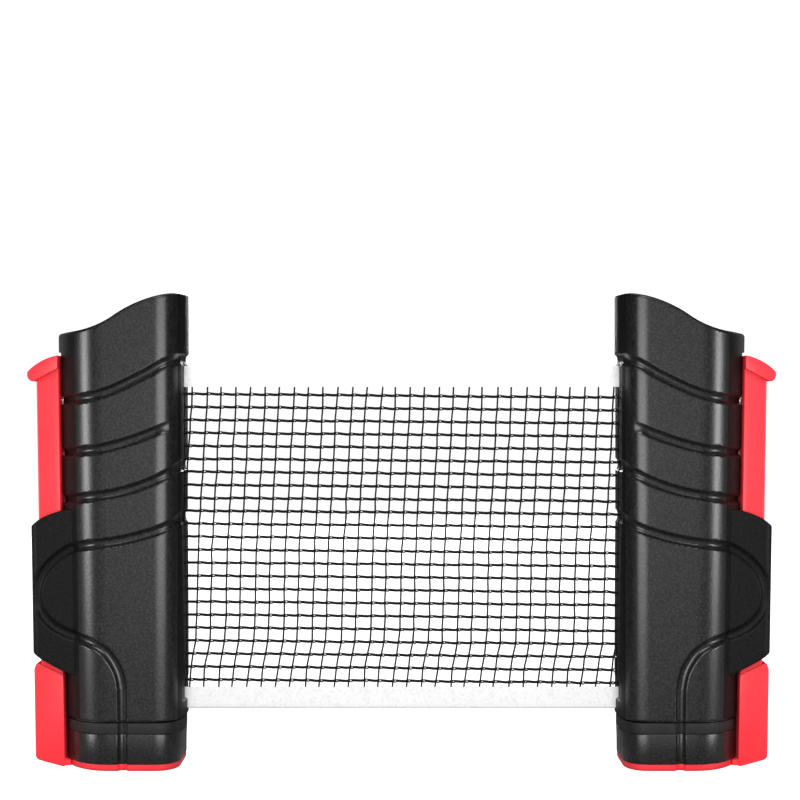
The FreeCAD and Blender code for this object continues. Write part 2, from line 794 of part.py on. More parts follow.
def ring(name, radius, wire, centre_z, axis):
    """Closed loop of square wire on the spring's line, whose own axis runs along x or y."""
    rims = []
    for edge in ("+", "-"):
        rim = DOC.addObject("Part::Cylinder", name + "_rim")
        turn = Rotation(Vector(0, 1, 0), 90) if axis == "x" else Rotation(Vector(1, 0, 0), 90)
        rim.Placement = Placement(Vector(0, 0, 0), turn)
        bind(rim, {"Radius": "%s %s %s" % (radius, edge, wire), "Height": "2 * " + wire})
        bind(rim, {"Placement.Base.x": "spring_x" + (" - " + wire if axis == "x" else "")})
        bind(rim, {"Placement.Base.y": "0" if axis == "x" else wire, "Placement.Base.z": centre_z})
        rims.append(rim)
    return cut(name, rims[0], rims[1:])


# Reel of the left post

def turned(name, profile):
    """Revolution of a half profile of (radius, z) points about the reel's axis."""
    body = new_body(name)
    outline = sketch(body, "XZ_Plane", polygon(profile))
    feature = body.newObject("PartDesign::Revolution", name + "_turned")
    feature.Profile = outline
    feature.ReferenceAxis = (outline, ["V_Axis"])
    feature.Angle = 360
    DOC.recompute()
    bind(body, {"Placement.Base.x": "reel_x"})
    return finish(body, name)


def build_reel():
    """Axle, bushes, core, wound net, and the drum with its flat spiral spring."""
    axle, bush, bore = dim("axle_radius"), dim("bush_radius"), dim("bush_bore_radius")
    core, arbor, core_bore = dim("reel_core_radius"), dim("arbor_radius"), dim("core_bore_radius")
    floor, ceiling = dim("floor_top_z"), dim("net_room_top_z")
    gap, length = dim("thrust_gap"), dim("bush_length")
    foot = dim("table_plane_z") + dim("upper_pad_thickness")
    turned("reel_axle", [(0, foot), (axle, foot), (axle, dim("axle_top_z")), (0, dim("axle_top_z"))])
    flange = floor + gap + 0.7
    turned("lower_bush", [
        (bore, floor + gap), (5.5, floor + gap), (5.5, flange), (bush, flange),
        (bush, flange + length), (bore, flange + length),
    ])
    top = dim("drum_top_z") - gap
    turned("upper_bush", [
        (bore, top - 0.4 - length), (bush, top - 0.4 - length), (bush, top - 0.4),
        (arbor, top - 0.4), (arbor, top), (bore, top),
    ])
    turned("reel_core", [
        (bush, flange), (core, flange), (core, ceiling - 0.9), (arbor, ceiling - 0.9),
        (arbor, top - 0.4), (bush, top - 0.4), (bush, top - 0.4 - length),
        (core_bore, top - 0.4 - length), (core_bore, flange + length), (bush, flange + length),
    ])
    bottom = dim("net_bottom_z")
    turned("net_roll", [
        (core, bottom), (dim("net_roll_radius"), bottom),
        (dim("net_roll_radius"), bottom + dim("net_height")), (core, bottom + dim("net_height")),
    ])
    drum, wall, hole = dim("drum_radius"), dim("drum_wall"), dim("arbor_hole_radius")
    base, lid = dim("spring_room_bottom_z"), dim("drum_top_z")
    turned("spring_drum", [
        (hole, base), (drum, base), (drum, lid), (drum - wall, lid),
        (drum - wall, base + wall), (hole, base + wall),
    ])
    turned("spring_drum_cover", [(axle, lid), (drum, lid), (drum, lid + 1.0), (axle, lid + 1.0)])


def build_rewind_spring():
    """Flat spiral strip from beside the arbor out to the wall of the drum, in half turns."""
    inner = dim("arbor_radius") + 0.5
    outer = dim("drum_radius") - dim("drum_wall")
    strip = dim("spiral_strip")
    halves = int(dim("spiral_turns") * 2)
    growth = (outer - inner - strip) / halves
    faces = ([], [])
    for half in range(halves):
        side = 1 if half % 2 == 0 else -1
        centre = 0.0 if side > 0 else growth
        for edges, extra in zip(faces, (0.0, strip)):
            radius = inner + half * growth + extra
            edges.append(arc((centre + side * radius, 0), (centre, side * radius),
                             (centre - side * radius, 0)))
    start = [edges[0].StartPoint for edges in faces]
    end = [edges[-1].EndPoint for edges in faces]
    ends = [line((first.x, first.y), (second.x, second.y)) for first, second in (start, end)]
    body = new_body("rewind_spring")
    pad(body, sketch(body, "XY_Plane", faces[0] + faces[1] + ends,
                     "spring_room_bottom_z + drum_wall + 0.5"), "spiral_height")
    bind(body, {"Placement.Base.x": "reel_x"})
    return finish(body, "rewind_spring")


# Net

def build_net_bands():
    """White cloth bands, from the roll in the left post to the bar in the right post."""
    half = dim("band_thickness") / 2
    entry = dim("post_tip_x") - 3.8
    run = dim("net_roll_radius") + half
    reach = entry - dim("reel_x")
    swing = math.acos(run / reach)
    on_roll = (dim("reel_x") + run * math.cos(swing), -run * math.sin(swing))
    across = (half * math.cos(swing), -half * math.sin(swing))
    end = dim("end_bar_x") - dim("end_bar_radius")
    bend_back = half * math.tan((math.pi / 2 - swing) / 2)
    outline = polygon([
        (entry - bend_back, half), (on_roll[0] - across[0], on_roll[1] - across[1]),
        (on_roll[0] + across[0], on_roll[1] + across[1]), (entry + bend_back, -half),
        (end, -half), (end, half),
    ])
    for name, bottom in (
        ("net_bottom_band", "net_bottom_z"),
        ("net_top_band", "net_bottom_z + net_height - band_width"),
    ):
        body = new_body(name)
        pad(body, sketch(body, "XY_Plane", outline, bottom), "band_width")
        finish(body, name)


def build_net_mesh():
    """Flat net as one plate with a gap for each mesh, between the two bands."""
    left, right = dim("post_tip_x") - 2.0, -dim("post_tip_x") + 2.0
    low = dim("net_bottom_z") + dim("band_width")
    high = dim("net_bottom_z") + dim("net_height") - dim("band_width")
    columns, rows, cord = int(dim("mesh_columns")), int(dim("mesh_rows")), dim("cord_width")
    wide = (right - left - cord) / columns
    tall = (high - low - cord) / rows
    edges = polygon([(left, low), (right, low), (right, high), (left, high)])
    for column in range(columns):
        for row in range(rows):
            x, z = left + cord + column * wide, low + cord + row * tall
            edges += polygon([(x, z), (x + wide - cord, z), (x + wide - cord, z + tall - cord),
                              (x, z + tall - cord)])
    body = new_body("net_mesh")
    pad(body, sketch(body, "XZ_Plane", edges), "mesh_thickness", both_ways=True)
    return finish(body, "net_mesh")


def build_end_bar():
    bar = cylinder("net_end_bar", "end_bar_radius", "net_room_top_z - floor_top_z",
                   ("end_bar_x", "0", "floor_top_z"))
    return finish(bar, "net_end_bar")


def build_all():
    left = build_shells()
    left += [build_shell_screws(), build_spring_pin(), build_upper_pad()]
    left += [build_slider(), build_spring_lug()] + build_jaw() + [build_jaw_screws()]
    left.append(build_clamp_spring())
    build_reel()
    build_rewind_spring()
    build_net_bands()
    build_net_mesh()
    build_end_bar()
    for item in left:
        mirror_to_right(item)


def write_parts():
    DOC.recompute()
    for item in DOC.Objects:
        if "Invalid" in item.State or "Error" in item.State:
            raise RuntimeError("%s failed: %s" % (item.Name, item.State))
    os.makedirs("parts", exist_ok=True)
    for item in PARTS:
        shape = item.Shape
        if shape.isNull() or not shape.isValid() or not shape.Solids:
            raise RuntimeError("%s has no valid solid" % item.Label)
        shape.exportStep(os.path.join("parts", item.Label + ".step"))
        print("%-20s %2d solid %4d faces %9.1f mm3"
              % (item.Label, len(shape.Solids), len(shape.Faces), shape.Volume))


build_all()
write_parts()
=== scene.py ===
import json
import math

import bmesh
import bpy
import numpy as np
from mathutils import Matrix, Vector


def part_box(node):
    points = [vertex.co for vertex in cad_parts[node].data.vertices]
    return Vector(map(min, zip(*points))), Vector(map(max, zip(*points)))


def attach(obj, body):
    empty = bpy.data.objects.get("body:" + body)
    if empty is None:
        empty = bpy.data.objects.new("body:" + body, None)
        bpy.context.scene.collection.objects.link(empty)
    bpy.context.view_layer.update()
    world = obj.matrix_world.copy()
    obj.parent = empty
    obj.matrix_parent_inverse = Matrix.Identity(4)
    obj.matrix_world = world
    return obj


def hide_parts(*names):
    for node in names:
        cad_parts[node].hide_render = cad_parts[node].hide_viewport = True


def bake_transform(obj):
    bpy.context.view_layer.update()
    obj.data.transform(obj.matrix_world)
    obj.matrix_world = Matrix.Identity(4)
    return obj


# Looks of the retractable table tennis net. Lengths are millimetres in the frame of the solids,
# until a mesh is made. The left post is built in place, and the right one is its mirror image.

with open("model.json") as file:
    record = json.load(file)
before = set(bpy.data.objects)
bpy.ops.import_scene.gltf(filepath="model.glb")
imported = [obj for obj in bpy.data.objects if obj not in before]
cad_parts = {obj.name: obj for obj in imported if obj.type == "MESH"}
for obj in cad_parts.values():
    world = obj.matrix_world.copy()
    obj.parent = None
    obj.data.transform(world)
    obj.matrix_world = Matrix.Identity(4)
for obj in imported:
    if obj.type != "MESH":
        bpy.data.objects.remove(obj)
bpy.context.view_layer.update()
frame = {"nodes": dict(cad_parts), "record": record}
MM = 0.001


def node_box(node):
    low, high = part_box(node)
    return np.array(low) / MM, np.array(high) / MM


# Sizes read from the frame
SHELL_LOW, SHELL_HIGH = node_box("left_front_shell")
PAD_LOW, PAD_HIGH = node_box("left_jaw_pad")
BLOCK_LOW, BLOCK_HIGH = node_box("left_jaw_block")
BAND_LOW, BAND_HIGH = node_box("net_top_band")
FOOT_BAND_LOW, FOOT_BAND_HIGH = node_box("net_bottom_band")
BAR_LOW = node_box("net_end_bar")[0]

# Housing, as in the part
TIP_X = SHELL_HIGH[0]
HALF_DEPTH = -SHELL_LOW[1]
HOUSING_BOTTOM = SHELL_LOW[2]
POST_WIDTH = 55.8
OUTER_X = TIP_X - POST_WIDTH
OUTER_FLAT, CORNER_LENGTH, CORNER_REACH = 3.0, 22.0, 8.0
TAPER_LENGTH, TAPER_FULLNESS = 11.9, 0.688
# The blunt tip comes in by more than the walls do
TIP_INSET = 1.06
WALL = 2.4
RAIL_AT_BASE = -144.66
RAIL_LEAN = math.tan(math.radians(0.95))
RAIL_STEP, RAIL_STEP_Z = 1.5, 178.5
WAVE_LOW, WAVE_STEEP = math.radians(5.5), math.radians(35.0)
WAVE_X, WAVE_Z = -122.93, 194.02
DISH_RADIUS, CROWN_RADIUS = 36.9, 56.3
FLOOR_TOP = 23.2
SLOT_LOW, SLOT_HIGH, SLOT_HALF = 28.4, 174.0, 2.5
TOP_ROUND, BOTTOM_ROUND = 1.3, 0.45
HALF_GAP, PARTING_DEPTH, FOOT_PARTING_DEPTH = 0.05, 0.22, 0.15
GROOVE_HALF, GROOVE_DEPTH, NOTCH_SHARE = 2.1, 1.9, 0.66
# Grooves get shallower towards the net slot, as (x, share of the depth)
GROOVE_FADE = [(-104.0, 1.0), (-96.5, 0.65)]
# The second groove fades out before the slot
SECOND_GROOVE_END, SECOND_GROOVE_FADE = -98.5, 6.0
# On the outer side grooves start beside the slider's channel and grow to this share at the corner
CORNER_NOTCH_SHARE, CORNER_NOTCH_START, CORNER_NOTCH_WIDTH = 0.9, 11.0, 5.0
# The face round the net slot, as (height, how far it lies behind the tip)
MOUTH = [(28.0, 1.0), (36.0, 1.0), (38.0, 0.3), (112.0, 1.3), (175.0, 1.3), (177.6, 0.0)]

# Centre lines of the grooves, as (x, z)
FIRST_GROOVE = [
    (-151.5, 157.7), (-145.3, 158.0), (-135.1, 158.9), (-128.0, 160.6), (-121.1, 163.1),
    (-109.2, 168.9), (-103.4, 172.2), (-98.6, 174.4), (-92.0, 176.4),
]
SECOND_GROOVE = [
    (-151.5, 134.9), (-145.3, 135.4), (-135.1, 136.4), (-128.0, 137.2), (-115.1, 140.7),
    (-99.6, 146.5),
]
THIRD_GROOVE = [
    (-151.5, 114.6), (-135.1, 116.4), (-121.1, 118.5), (-109.2, 122.1), (-98.6, 126.9),
    (-92.0, 131.8),
]
LOOP_GROOVE = [
    (-92.0, 109.3), (-98.6, 104.5), (-109.2, 100.7), (-121.1, 97.9), (-135.1, 96.0), (-140.9, 94.6),
    (-146.3, 91.6), (-151.1, 87.4), (-154.6, 82.6), (-156.3, 77.2), (-156.3, 71.8), (-154.9, 67.4),
    (-152.3, 63.8), (-148.3, 60.3), (-143.2, 57.8), (-137.2, 56.0), (-131.7, 54.2), (-126.3, 51.2),
    (-122.8, 47.1), (-120.2, 42.0), (-119.0, 36.5), (-118.6, 30.0), (-118.6, -4.0),
]

# Guide sleeve and slider
SLEEVE_DEPTH, SLEEVE_THICKNESS, SLEEVE_ROUND = 14.5, 13.1, 3.5
SLEEVE_TOP, SLEEVE_FOOT, SLEEVE_INNER_X = 103.9, 48.6, -141.5
CHANNEL_HALF, CHANNEL_THICKNESS = 10.4, 10.45
STRIP_GAP, STRIP_THICKNESS, STRIP_HALF = 0.5, 9.75, 10.0
BLOCK_HALF, HOOK_HALF = 10.5, 12.5
BASE_TOP, BASE_INSET, JAW_INSET = BLOCK_LOW[2], 0.9, 0.6
# How far the inner ends of base and jaw reach, as (height, x)
BASE_END = [(0.0, -95.2), (2.9, -95.2)]
JAW_END = [(2.9, -95.2), (5.0, -95.0), (9.0, -94.1), (15.8, -94.0)]

# Screws of the rear shells, as (x, z)
SCREWS = [(-139.8, 178.6), (-104.8, 192.4), (-139.6, 31.5)]
SCREW_HOLE_RADIUS, SCREW_BOSS_RADIUS, SCREW_SEAT = 3.1, 4.3, 8.0

# Net: rows of thick cords along it and thin upright ones, which lean more towards the foot
ROWS, COLUMNS = 23, 31
FIRST_ROW_Z, LAST_ROW_Z, ROW_TILT = 159.9, 35.3, -0.0085
FIRST_COLUMN_X, COLUMN_PITCH = -91.4, 6.34
LEAN = [(0, 0.0), (12, -3.9), (17, -4.5), (19, -5.0), (21, -7.0), (22, -7.6)]
ALONG_RADIUS, UP_RADIUS, KNOT_RADIUS = 0.6, 0.4, 0.28
# Between knots a cord along the net rises and dips, as (share of the way, height)
DIPS = [(0.27, 0.13), (0.72, -0.11)]
KNOT_AT, KNOT_HALF_WIDTH, KNOT_HALF_HEIGHT = np.array([0.95, -0.62, 0.08]), 0.68, 0.58
THREAD_AT, THREAD_SIZES = np.array([0.95, -0.78, 0.1]), (0.3, 0.48)
# Unevenness of the net: standard deviations of its knots' heights and places, and a zigzag
SAG_SIZE, SWAY_SIZE, ZIGZAG = 0.09, 0.11, 0.16
# Copies of each upright cord, which lie on one another
COPIES = 9

# Tapes, and their way inside the left post, from the roll to the slot
TAPE_THICKNESS, CLOTH, CORD_IN_TAPE = 1.2, 0.4, 3.0
TAPE_ENTRY, ROLL_FROM_ENTRY, TAPE_INSIDE = 3.8, (1.45, 5.0), 9.0

# Camera that gives the photo's scale and perspective, in pixels and metres
CAMERA_FOCAL_PIXELS, PHOTO_PIXELS = 1924, 800
CAMERA_PLACE = (-0.0007, -0.84, 0.158)

# Soft lamps: place, aim and size in metres, and power. Those beside a post are given for the
# right one and mirrored for the left one.
LAMPS = {
    "front_box": ((0, -0.92, 0.17), (0, 0, 0.17), (1.1, 0.34), 0.9),
    "high_box": ((0, -1.3, 1.5), (0, 0, 0.1), (1.2, 0.8), 20),
    "back_box": ((0, 1.0, 1.9), (0, 0, 0.1), (1.2, 0.7), 10),
    "rear_box": ((0, 1.6, 0.6), (0, 0, 0.1), (0.25, 0.8), 11),
    "net_box": ((0, -1.5, 1.1), (0, 0, 0.1), (1.0, 0.6), 20),
}
POST_LAMPS = {
    "rim": ((0.87, 0.8, 0.35), (0.12, 0, 0.15), (0.3, 0.7), 1.1),
    "outer": ((0.82, -0.39, 0.14), (0.12, 0, 0.13), (0.24, 0.27), 3.0),
    "inner": ((-0.17, -0.58, 0.14), (0.105, 0, 0.13), (0.5, 0.27), 2.6),
}


# Geometry of the post

def rail_x(z):
    """X of the leaning face that the slider runs on."""
    return RAIL_AT_BASE - RAIL_LEAN * z


def wall_x(z):
    """X of the housing's outer face, which steps out above the slider."""
    return rail_x(z) - np.where(np.asarray(z) > RAIL_STEP_Z, RAIL_STEP, 0.0)


def mouth_x(z):
    """X beyond which the inner end is cut away."""
    z = np.asarray(z, float)
    heights, backs = np.array(MOUTH).T
    inside = (z > heights[0]) & (z < heights[-1])
    return np.where(inside, TIP_X - np.interp(z, heights, backs), TIP_X + 1.0)


def wave_z(x):
    """Height of the post's top edge: a dish that sweeps up into a crown."""
    x = np.asarray(x, float)
    start_x = WAVE_X - DISH_RADIUS * (math.sin(WAVE_STEEP) - math.sin(WAVE_LOW))
    start_z = WAVE_Z - DISH_RADIUS * (math.cos(WAVE_LOW) - math.cos(WAVE_STEEP))
    sine = np.clip(math.sin(WAVE_STEEP) - (WAVE_X - x) / DISH_RADIUS, -0.99, 0.99)
    dish = WAVE_Z - DISH_RADIUS * (np.sqrt(1 - sine ** 2) - math.cos(WAVE_STEEP))
    sine = np.clip(math.sin(WAVE_STEEP) - (x - WAVE_X) / CROWN_RADIUS, -0.99, 0.99)
    crown = WAVE_Z + CROWN_RADIUS * (np.sqrt(1 - sine ** 2) - math.cos(WAVE_STEEP))
    line = start_z + (x - start_x) * math.tan(WAVE_LOW)
    return np.where(x < start_x, line, np.where(x < WAVE_X, dish, crown))


def even(points, count):
    """Points spaced evenly along a polyline."""
    points = np.asarray(points, float)
    run = np.concatenate([[0], np.cumsum(np.linalg.norm(np.diff(points, axis=0), axis=1))])
    at = np.linspace(0, run[-1], count)
    return np.stack([np.interp(at, run, points[:, k]) for k in range(points.shape[1])], 1)


def bezier(*poles, count=400):
    """Points on the Bezier curve with these poles."""
    t = np.linspace(0, 1, count)[:, None]
    level = [np.array(pole, float) for pole in poles]
    while len(level) > 1:
        level = [(1 - t) * a + t * b for a, b in zip(level, level[1:])]
    return level[0]


# Steps of the outline's four parts, and rows of the housing below, beside and above the slot
SECTION_COUNTS = (4, 60, 56, 48)
FOOT_ROWS, SLOT_ROWS, HEAD_ROWS, TOP_ROWS = 13, 320, 4, 45
# Steps of the outline at which the painted shade of the flanks, a darker and duller copy of the
# black plastic, ends and starts again
OUTER_FLANK, INNER_FLANK = 37, 140
# Floor and roof run in to a line in the parting plane, this share of the outline long
CENTRE_LINE_SHARE = 0.42


def half_section(inset=0.0, slot=0.0, counts=SECTION_COUNTS):
    """Front half of the plan outline, from the outer side round to the tip or the slot's edge."""
    depth = HALF_DEPTH - inset
    left, tip = OUTER_X + inset, TIP_X - TIP_INSET * inset
    corner, taper = OUTER_X + CORNER_LENGTH, TIP_X - TAPER_LENGTH
    inner_end = bezier((taper, -depth), (taper + TAPER_FULLNESS * (tip - taper), -depth),
                       (tip, -TAPER_FULLNESS * depth), (tip, 0))
    if slot:
        edge = np.interp(-slot, inner_end[:, 1], inner_end[:, 0])
        inner_end = np.vstack([inner_end[inner_end[:, 1] < -slot], [edge, -slot]])
    pieces = [
        np.array([(left, 0), (left, -OUTER_FLAT)]),
        bezier((left, -OUTER_FLAT), (left + CORNER_REACH, -depth), (corner, -depth)),
        np.array([(corner, -depth), (taper, -depth)]),
        inner_end,
    ]
    points = [even(piece, count + 1)[:-1] for piece, count in zip(pieces, counts)]
    points.append(inner_end[-1:])
    return np.vstack(points)


def leaned(points, z):
    """Outline at height z: the outer corner follows the rail, and the flat front gets shorter."""
    corner, taper = OUTER_X + CORNER_LENGTH, TIP_X - TAPER_LENGTH
    share = np.clip((taper - points[:, 0]) / (taper - corner), 0, 1)
    moved = points.copy()
    moved[:, 0] += share * RAIL_LEAN * np.clip(RAIL_STEP_Z - z, 0, None)
    return moved


def outward(points):
    """Unit normals of an outline that runs with its outside on the right."""
    along = np.gradient(points, axis=0)
    normal = np.stack([along[:, 1], -along[:, 0]], 1)
    return -normal / np.linalg.norm(normal, axis=1)[:, None] * np.sign(
        np.sum(normal * (np.array([-121.0, 0.0]) - points), axis=1))[:, None]


def catmull(points, steps=24):
    """Smooth dense line through points."""
    p = np.array([points[0], *points, points[-1]], float)
    p[0], p[-1] = 2 * p[1] - p[2], 2 * p[-2] - p[-3]
    out = []
    for a, b, c, d in zip(p, p[1:], p[2:], p[3:]):
        for t in np.linspace(0, 1, steps, endpoint=False):
            out.append(0.5 * (2 * b + (c - a) * t + (2 * a - 5 * b + 4 * c - d) * t ** 2
                              + (3 * b - a - 3 * c + d) * t ** 3))
    out.append(p[-2])
    return np.array(out)


GROOVES = [catmull(g) for g in (FIRST_GROOVE, SECOND_GROOVE, THIRD_GROOVE, LOOP_GROOVE)]


def groove_depth(x, z):
    """Depth of the round-bottomed grooves where the front is seen at x and z."""
    x, z = np.asarray(x, float), np.asarray(z, float)
    depth = np.zeros(x.shape)
    for index, curve in enumerate(GROOVES):
        low, high = curve.min(0) - GROOVE_HALF, curve.max(0) + GROOVE_HALF
        near = (x > low[0]) & (x < high[0]) & (z > low[1]) & (z < high[1])
        if not near.any():
            continue
        points = np.stack([x[near], z[near]], 1)
        start, step = curve[:-1], np.diff(curve, axis=0)
        length = (step ** 2).sum(1)
        best = np.full(len(points), 1e9)
        for a, d, l in zip(start, step, length):
            t = np.clip(((points - a) @ d) / l, 0, 1)
            best = np.minimum(best, np.linalg.norm(points - a - t[:, None] * d, axis=1))
        share = np.clip(1 - (best / GROOVE_HALF) ** 2, 0, 1) ** 0.6
        if index == 1:
            share = share * np.clip((SECOND_GROOVE_END - points[:, 0]) / SECOND_GROOVE_FADE, 0, 1)
        depth[near] = np.maximum(depth[near], share * GROOVE_DEPTH)
    return depth * np.interp(x, *np.array(GROOVE_FADE).T)


# Mesh helpers

def linked(name, data):
    """New object of the scene."""
    obj = bpy.data.objects.new(name, data)
    bpy.context.scene.collection.objects.link(obj)
    return obj


def new_object(name, verts, faces, weld=True):
    """Mesh object from millimetre vertices, with its normals turned outward."""
    mesh = bpy.data.meshes.new(name)
    mesh.from_pydata((np.asarray(verts, float) * MM).tolist(), [], faces)
    work = bmesh.new()
    work.from_mesh(mesh)
    if weld:
        bmesh.ops.remove_doubles(work, verts=work.verts, dist=1e-7)
        bmesh.ops.dissolve_degenerate(work, edges=work.edges, dist=1e-8)
    bmesh.ops.recalc_face_normals(work, faces=work.faces)
    work.to_mesh(mesh)
    work.free()
    return linked(name, mesh)


def smooth(obj, angle=40.0):
    """Shades faces smooth that meet at less than an angle in degrees."""
    obj.data.shade_smooth()
    obj.data.set_sharp_from_angle(angle=math.radians(angle))
    return obj


def quads(rows, cols, offset=0, close_rows=False, close_cols=False):
    """Faces of a grid whose vertices are stored row by row."""
    out = []
    for r in range(rows if close_rows else rows - 1):
        for c in range(cols if close_cols else cols - 1):
            r2, c2 = (r + 1) % rows, (c + 1) % cols
            out.append((offset + r * cols + c, offset + r * cols + c2,
                        offset + r2 * cols + c2, offset + r2 * cols + c))
    return out


def capped(rows, cols):
    """Faces of a grid that closes round its columns, with a cap at each end."""
    first, last = range(cols), range(rows * cols - 1, (rows - 1) * cols - 1, -1)
    return quads(rows, cols, close_cols=True) + [tuple(first), tuple(last)]


def mark_faces(obj, index):
    """Marks each face with 0 or 1, for the first or the second material of dress()."""
    obj.data.materials.append(None)
    obj.data.materials.append(None)
    obj.data.polygons.foreach_set("material_index", index)


def thick_shell(outer, inner, row_ids, col_ids):
    """Closed mesh between a fine outer grid and a coarse inner one that share their borders."""
    rows, cols = outer.shape[:2]
    n_rows, n_cols = inner.shape[:2]
    offset = rows * cols
    verts = np.vstack([outer.reshape(-1, 3), inner.reshape(-1, 3)])
    faces = quads(rows, cols)
    faces += [face[::-1] for face in quads(n_rows, n_cols, offset)]

    def fine(r, c):
        return r * cols + c

    def coarse(r, c):
        return offset + r * n_cols + c

    for k, (a, b) in enumerate(zip(row_ids, row_ids[1:])):
        left = [fine(r, 0) for r in range(a, b + 1)]
        faces.append(left + [coarse(k + 1, 0), coarse(k, 0)])
        right = [fine(r, cols - 1) for r in range(b, a - 1, -1)]
        faces.append(right + [coarse(k, n_cols - 1), coarse(k + 1, n_cols - 1)])
    for k, (a, b) in enumerate(zip(col_ids, col_ids[1:])):
        low = [fine(0, c) for c in range(b, a - 1, -1)]
        faces.append(low + [coarse(0, k), coarse(0, k + 1)])
        high = [fine(rows - 1, c) for c in range(a, b + 1)]
        faces.append(high + [coarse(n_rows - 1, k + 1), coarse(n_rows - 1, k)])
    return verts, faces


def apply_boolean(obj, others, operation):
    """Boolean with several solids, applied to the mesh; the tools are removed."""
    for other in others:
        modifier = obj.modifiers.new("solid", "BOOLEAN")
        modifier.operation = operation
        modifier.solver = "EXACT"
        modifier.object = other
    bpy.context.view_layer.update()
    evaluated = obj.evaluated_get(bpy.context.evaluated_depsgraph_get())
    result = bpy.data.meshes.new_from_object(evaluated)
    obj.modifiers.clear()
    obj.data = result
    for other in others:
        bpy.data.objects.remove(other)
    return obj


def mirrored(obj, name, axis):
    """Copy of an object mirrored across the plane x = 0 or y = 0."""
    copy = linked(name, obj.data.copy())
    copy.data.name = name
    co = np.zeros(len(copy.data.vertices) * 3, np.float32)
    copy.data.vertices.foreach_get("co", co)
    co = co.reshape(-1, 3)
    co[:, axis] *= -1
    copy.data.vertices.foreach_set("co", co.ravel())
    copy.data.flip_normals()
    copy.data.update()
    return copy


def cylinder(name, centre, radius, depth, sides=48):
    """Cylinder whose axis runs from front to back."""
    angles = np.linspace(0, 2 * math.pi, sides, endpoint=False)
    verts = [np.array((radius * math.cos(a), end, radius * math.sin(a))) + centre
             for end in (-depth / 2, depth / 2) for a in angles]
    return new_object(name, verts, capped(2, sides))


# Housing

def shell_grid(inset, floor_z, roof_drop, bottom_round, top_round, grooves):
    """Skin of the front half: floor, wall and roof, one row of points above another."""
    full, slotted = half_section(inset), half_section(inset, SLOT_HALF)
    normal_full, normal_slotted = outward(full), outward(slotted)
    middle_x = (OUTER_X + TIP_X) / 2
    target_x = middle_x + (full[:, 0] - middle_x) * CENTRE_LINE_SHARE
    target = np.stack([target_x, np.zeros(len(full))], 1)
    rows = []

    def add(points, z):
        z = np.broadcast_to(np.asarray(z, float), (len(points),))
        points = leaned(points, z)
        low, high = wall_x(z) + inset, mouth_x(z) - TIP_INSET * inset
        if grooves:
            aside = (np.abs(points[:, 1]) - CORNER_NOTCH_START) / CORNER_NOTCH_WIDTH
            low = low + groove_depth(low, z) * CORNER_NOTCH_SHARE * np.clip(aside, 0, 1)
            high = high - groove_depth(high, z) * NOTCH_SHARE
        rows.append(np.stack([np.clip(points[:, 0], low, high), points[:, 1], z], 1))

    edge = full - normal_full * bottom_round
    for v in (0.0, 0.08, 0.35, 0.65, 0.9):
        add(target + (edge - target) * v, floor_z)
    for angle in np.radians((0, 30, 60)):
        add(full - normal_full * bottom_round * (1 - math.sin(angle)),
            floor_z + bottom_round * (1 - math.cos(angle)))
    start = SLOT_HIGH + 1.5
    wall_z = np.concatenate([
        np.linspace(floor_z + bottom_round, SLOT_LOW - 0.04, FOOT_ROWS),
        np.linspace(SLOT_LOW + 0.04, SLOT_HIGH - 0.04, SLOT_ROWS),
        np.linspace(SLOT_HIGH + 0.04, start, HEAD_ROWS),
    ])
    for z in wall_z:
        in_slot = SLOT_LOW < z < SLOT_HIGH
        points, normals = (slotted, normal_slotted) if in_slot else (full, normal_full)
        depth = groove_depth(leaned(points, z)[:, 0], np.full(len(points), z)) if grooves else 0.0
        depth = np.broadcast_to(depth, (len(points),))
        add(points - normals * depth[:, None], z)
    end = wave_z(full[:, 0]) - roof_drop - top_round
    for v in np.linspace(0, 1, TOP_ROWS + 1)[1:]:
        z = start + (end - start) * v
        depth = groove_depth(full[:, 0], z) if grooves else np.zeros(len(full))
        add(full - normal_full * depth[:, None], z)
    for angle in np.radians((18, 36, 54, 72, 90)):
        points = full - normal_full * top_round * (1 - math.cos(angle))
        add(points, wave_z(points[:, 0]) - roof_drop - top_round * (1 - math.sin(angle)))
    edge = full - normal_full * top_round
    for v in (0.08, 0.2, 0.35, 0.5, 0.65, 0.8, 0.92, 1.0):
        points = edge + (target - edge) * v
        add(points, wave_z(points[:, 0]) - roof_drop)
    return np.array(rows)


def soften_parting(grid):
    """Small V where the two halves meet."""
    for border in (grid[:, 0], grid[:, -1], grid[0], grid[-1]):
        border[:, 1] = np.minimum(border[:, 1], -HALF_GAP)
    grid[:, 0, 0] += PARTING_DEPTH
    beside_slot = grid[:, -1, 1] <= -SLOT_HALF + 0.1
    grid[~beside_slot, -1, 0] -= PARTING_DEPTH
    grid[0, :, 2] += FOOT_PARTING_DEPTH
    grid[-1, :, 2] -= PARTING_DEPTH


def circle_through(a, b, c):
    """Centre and radius of the circle through three points."""
    (ax, ay), (bx, by), (cx, cy) = a, b, c
    d = 2 * (ax * (by - cy) + bx * (cy - ay) + cx * (ay - by))
    a2, b2, c2 = ax ** 2 + ay ** 2, bx ** 2 + by ** 2, cx ** 2 + cy ** 2
    ux = (a2 * (by - cy) + b2 * (cy - ay) + c2 * (ay - by)) / d
    uy = (a2 * (cx - bx) + b2 * (ax - cx) + c2 * (bx - ax)) / d
    return ux, uy, math.hypot(ax - ux, ay - uy)


def arc_height(a, b, c):
    """Function that gives z over x on the arc through three points."""
    ux, uy, radius = circle_through(a, b, c)
    sign = 1 if b[1] > uy else -1

    def height(x):
        return uy + sign * np.sqrt(np.maximum(radius ** 2 - (np.asarray(x) - ux) ** 2, 0))

    return height


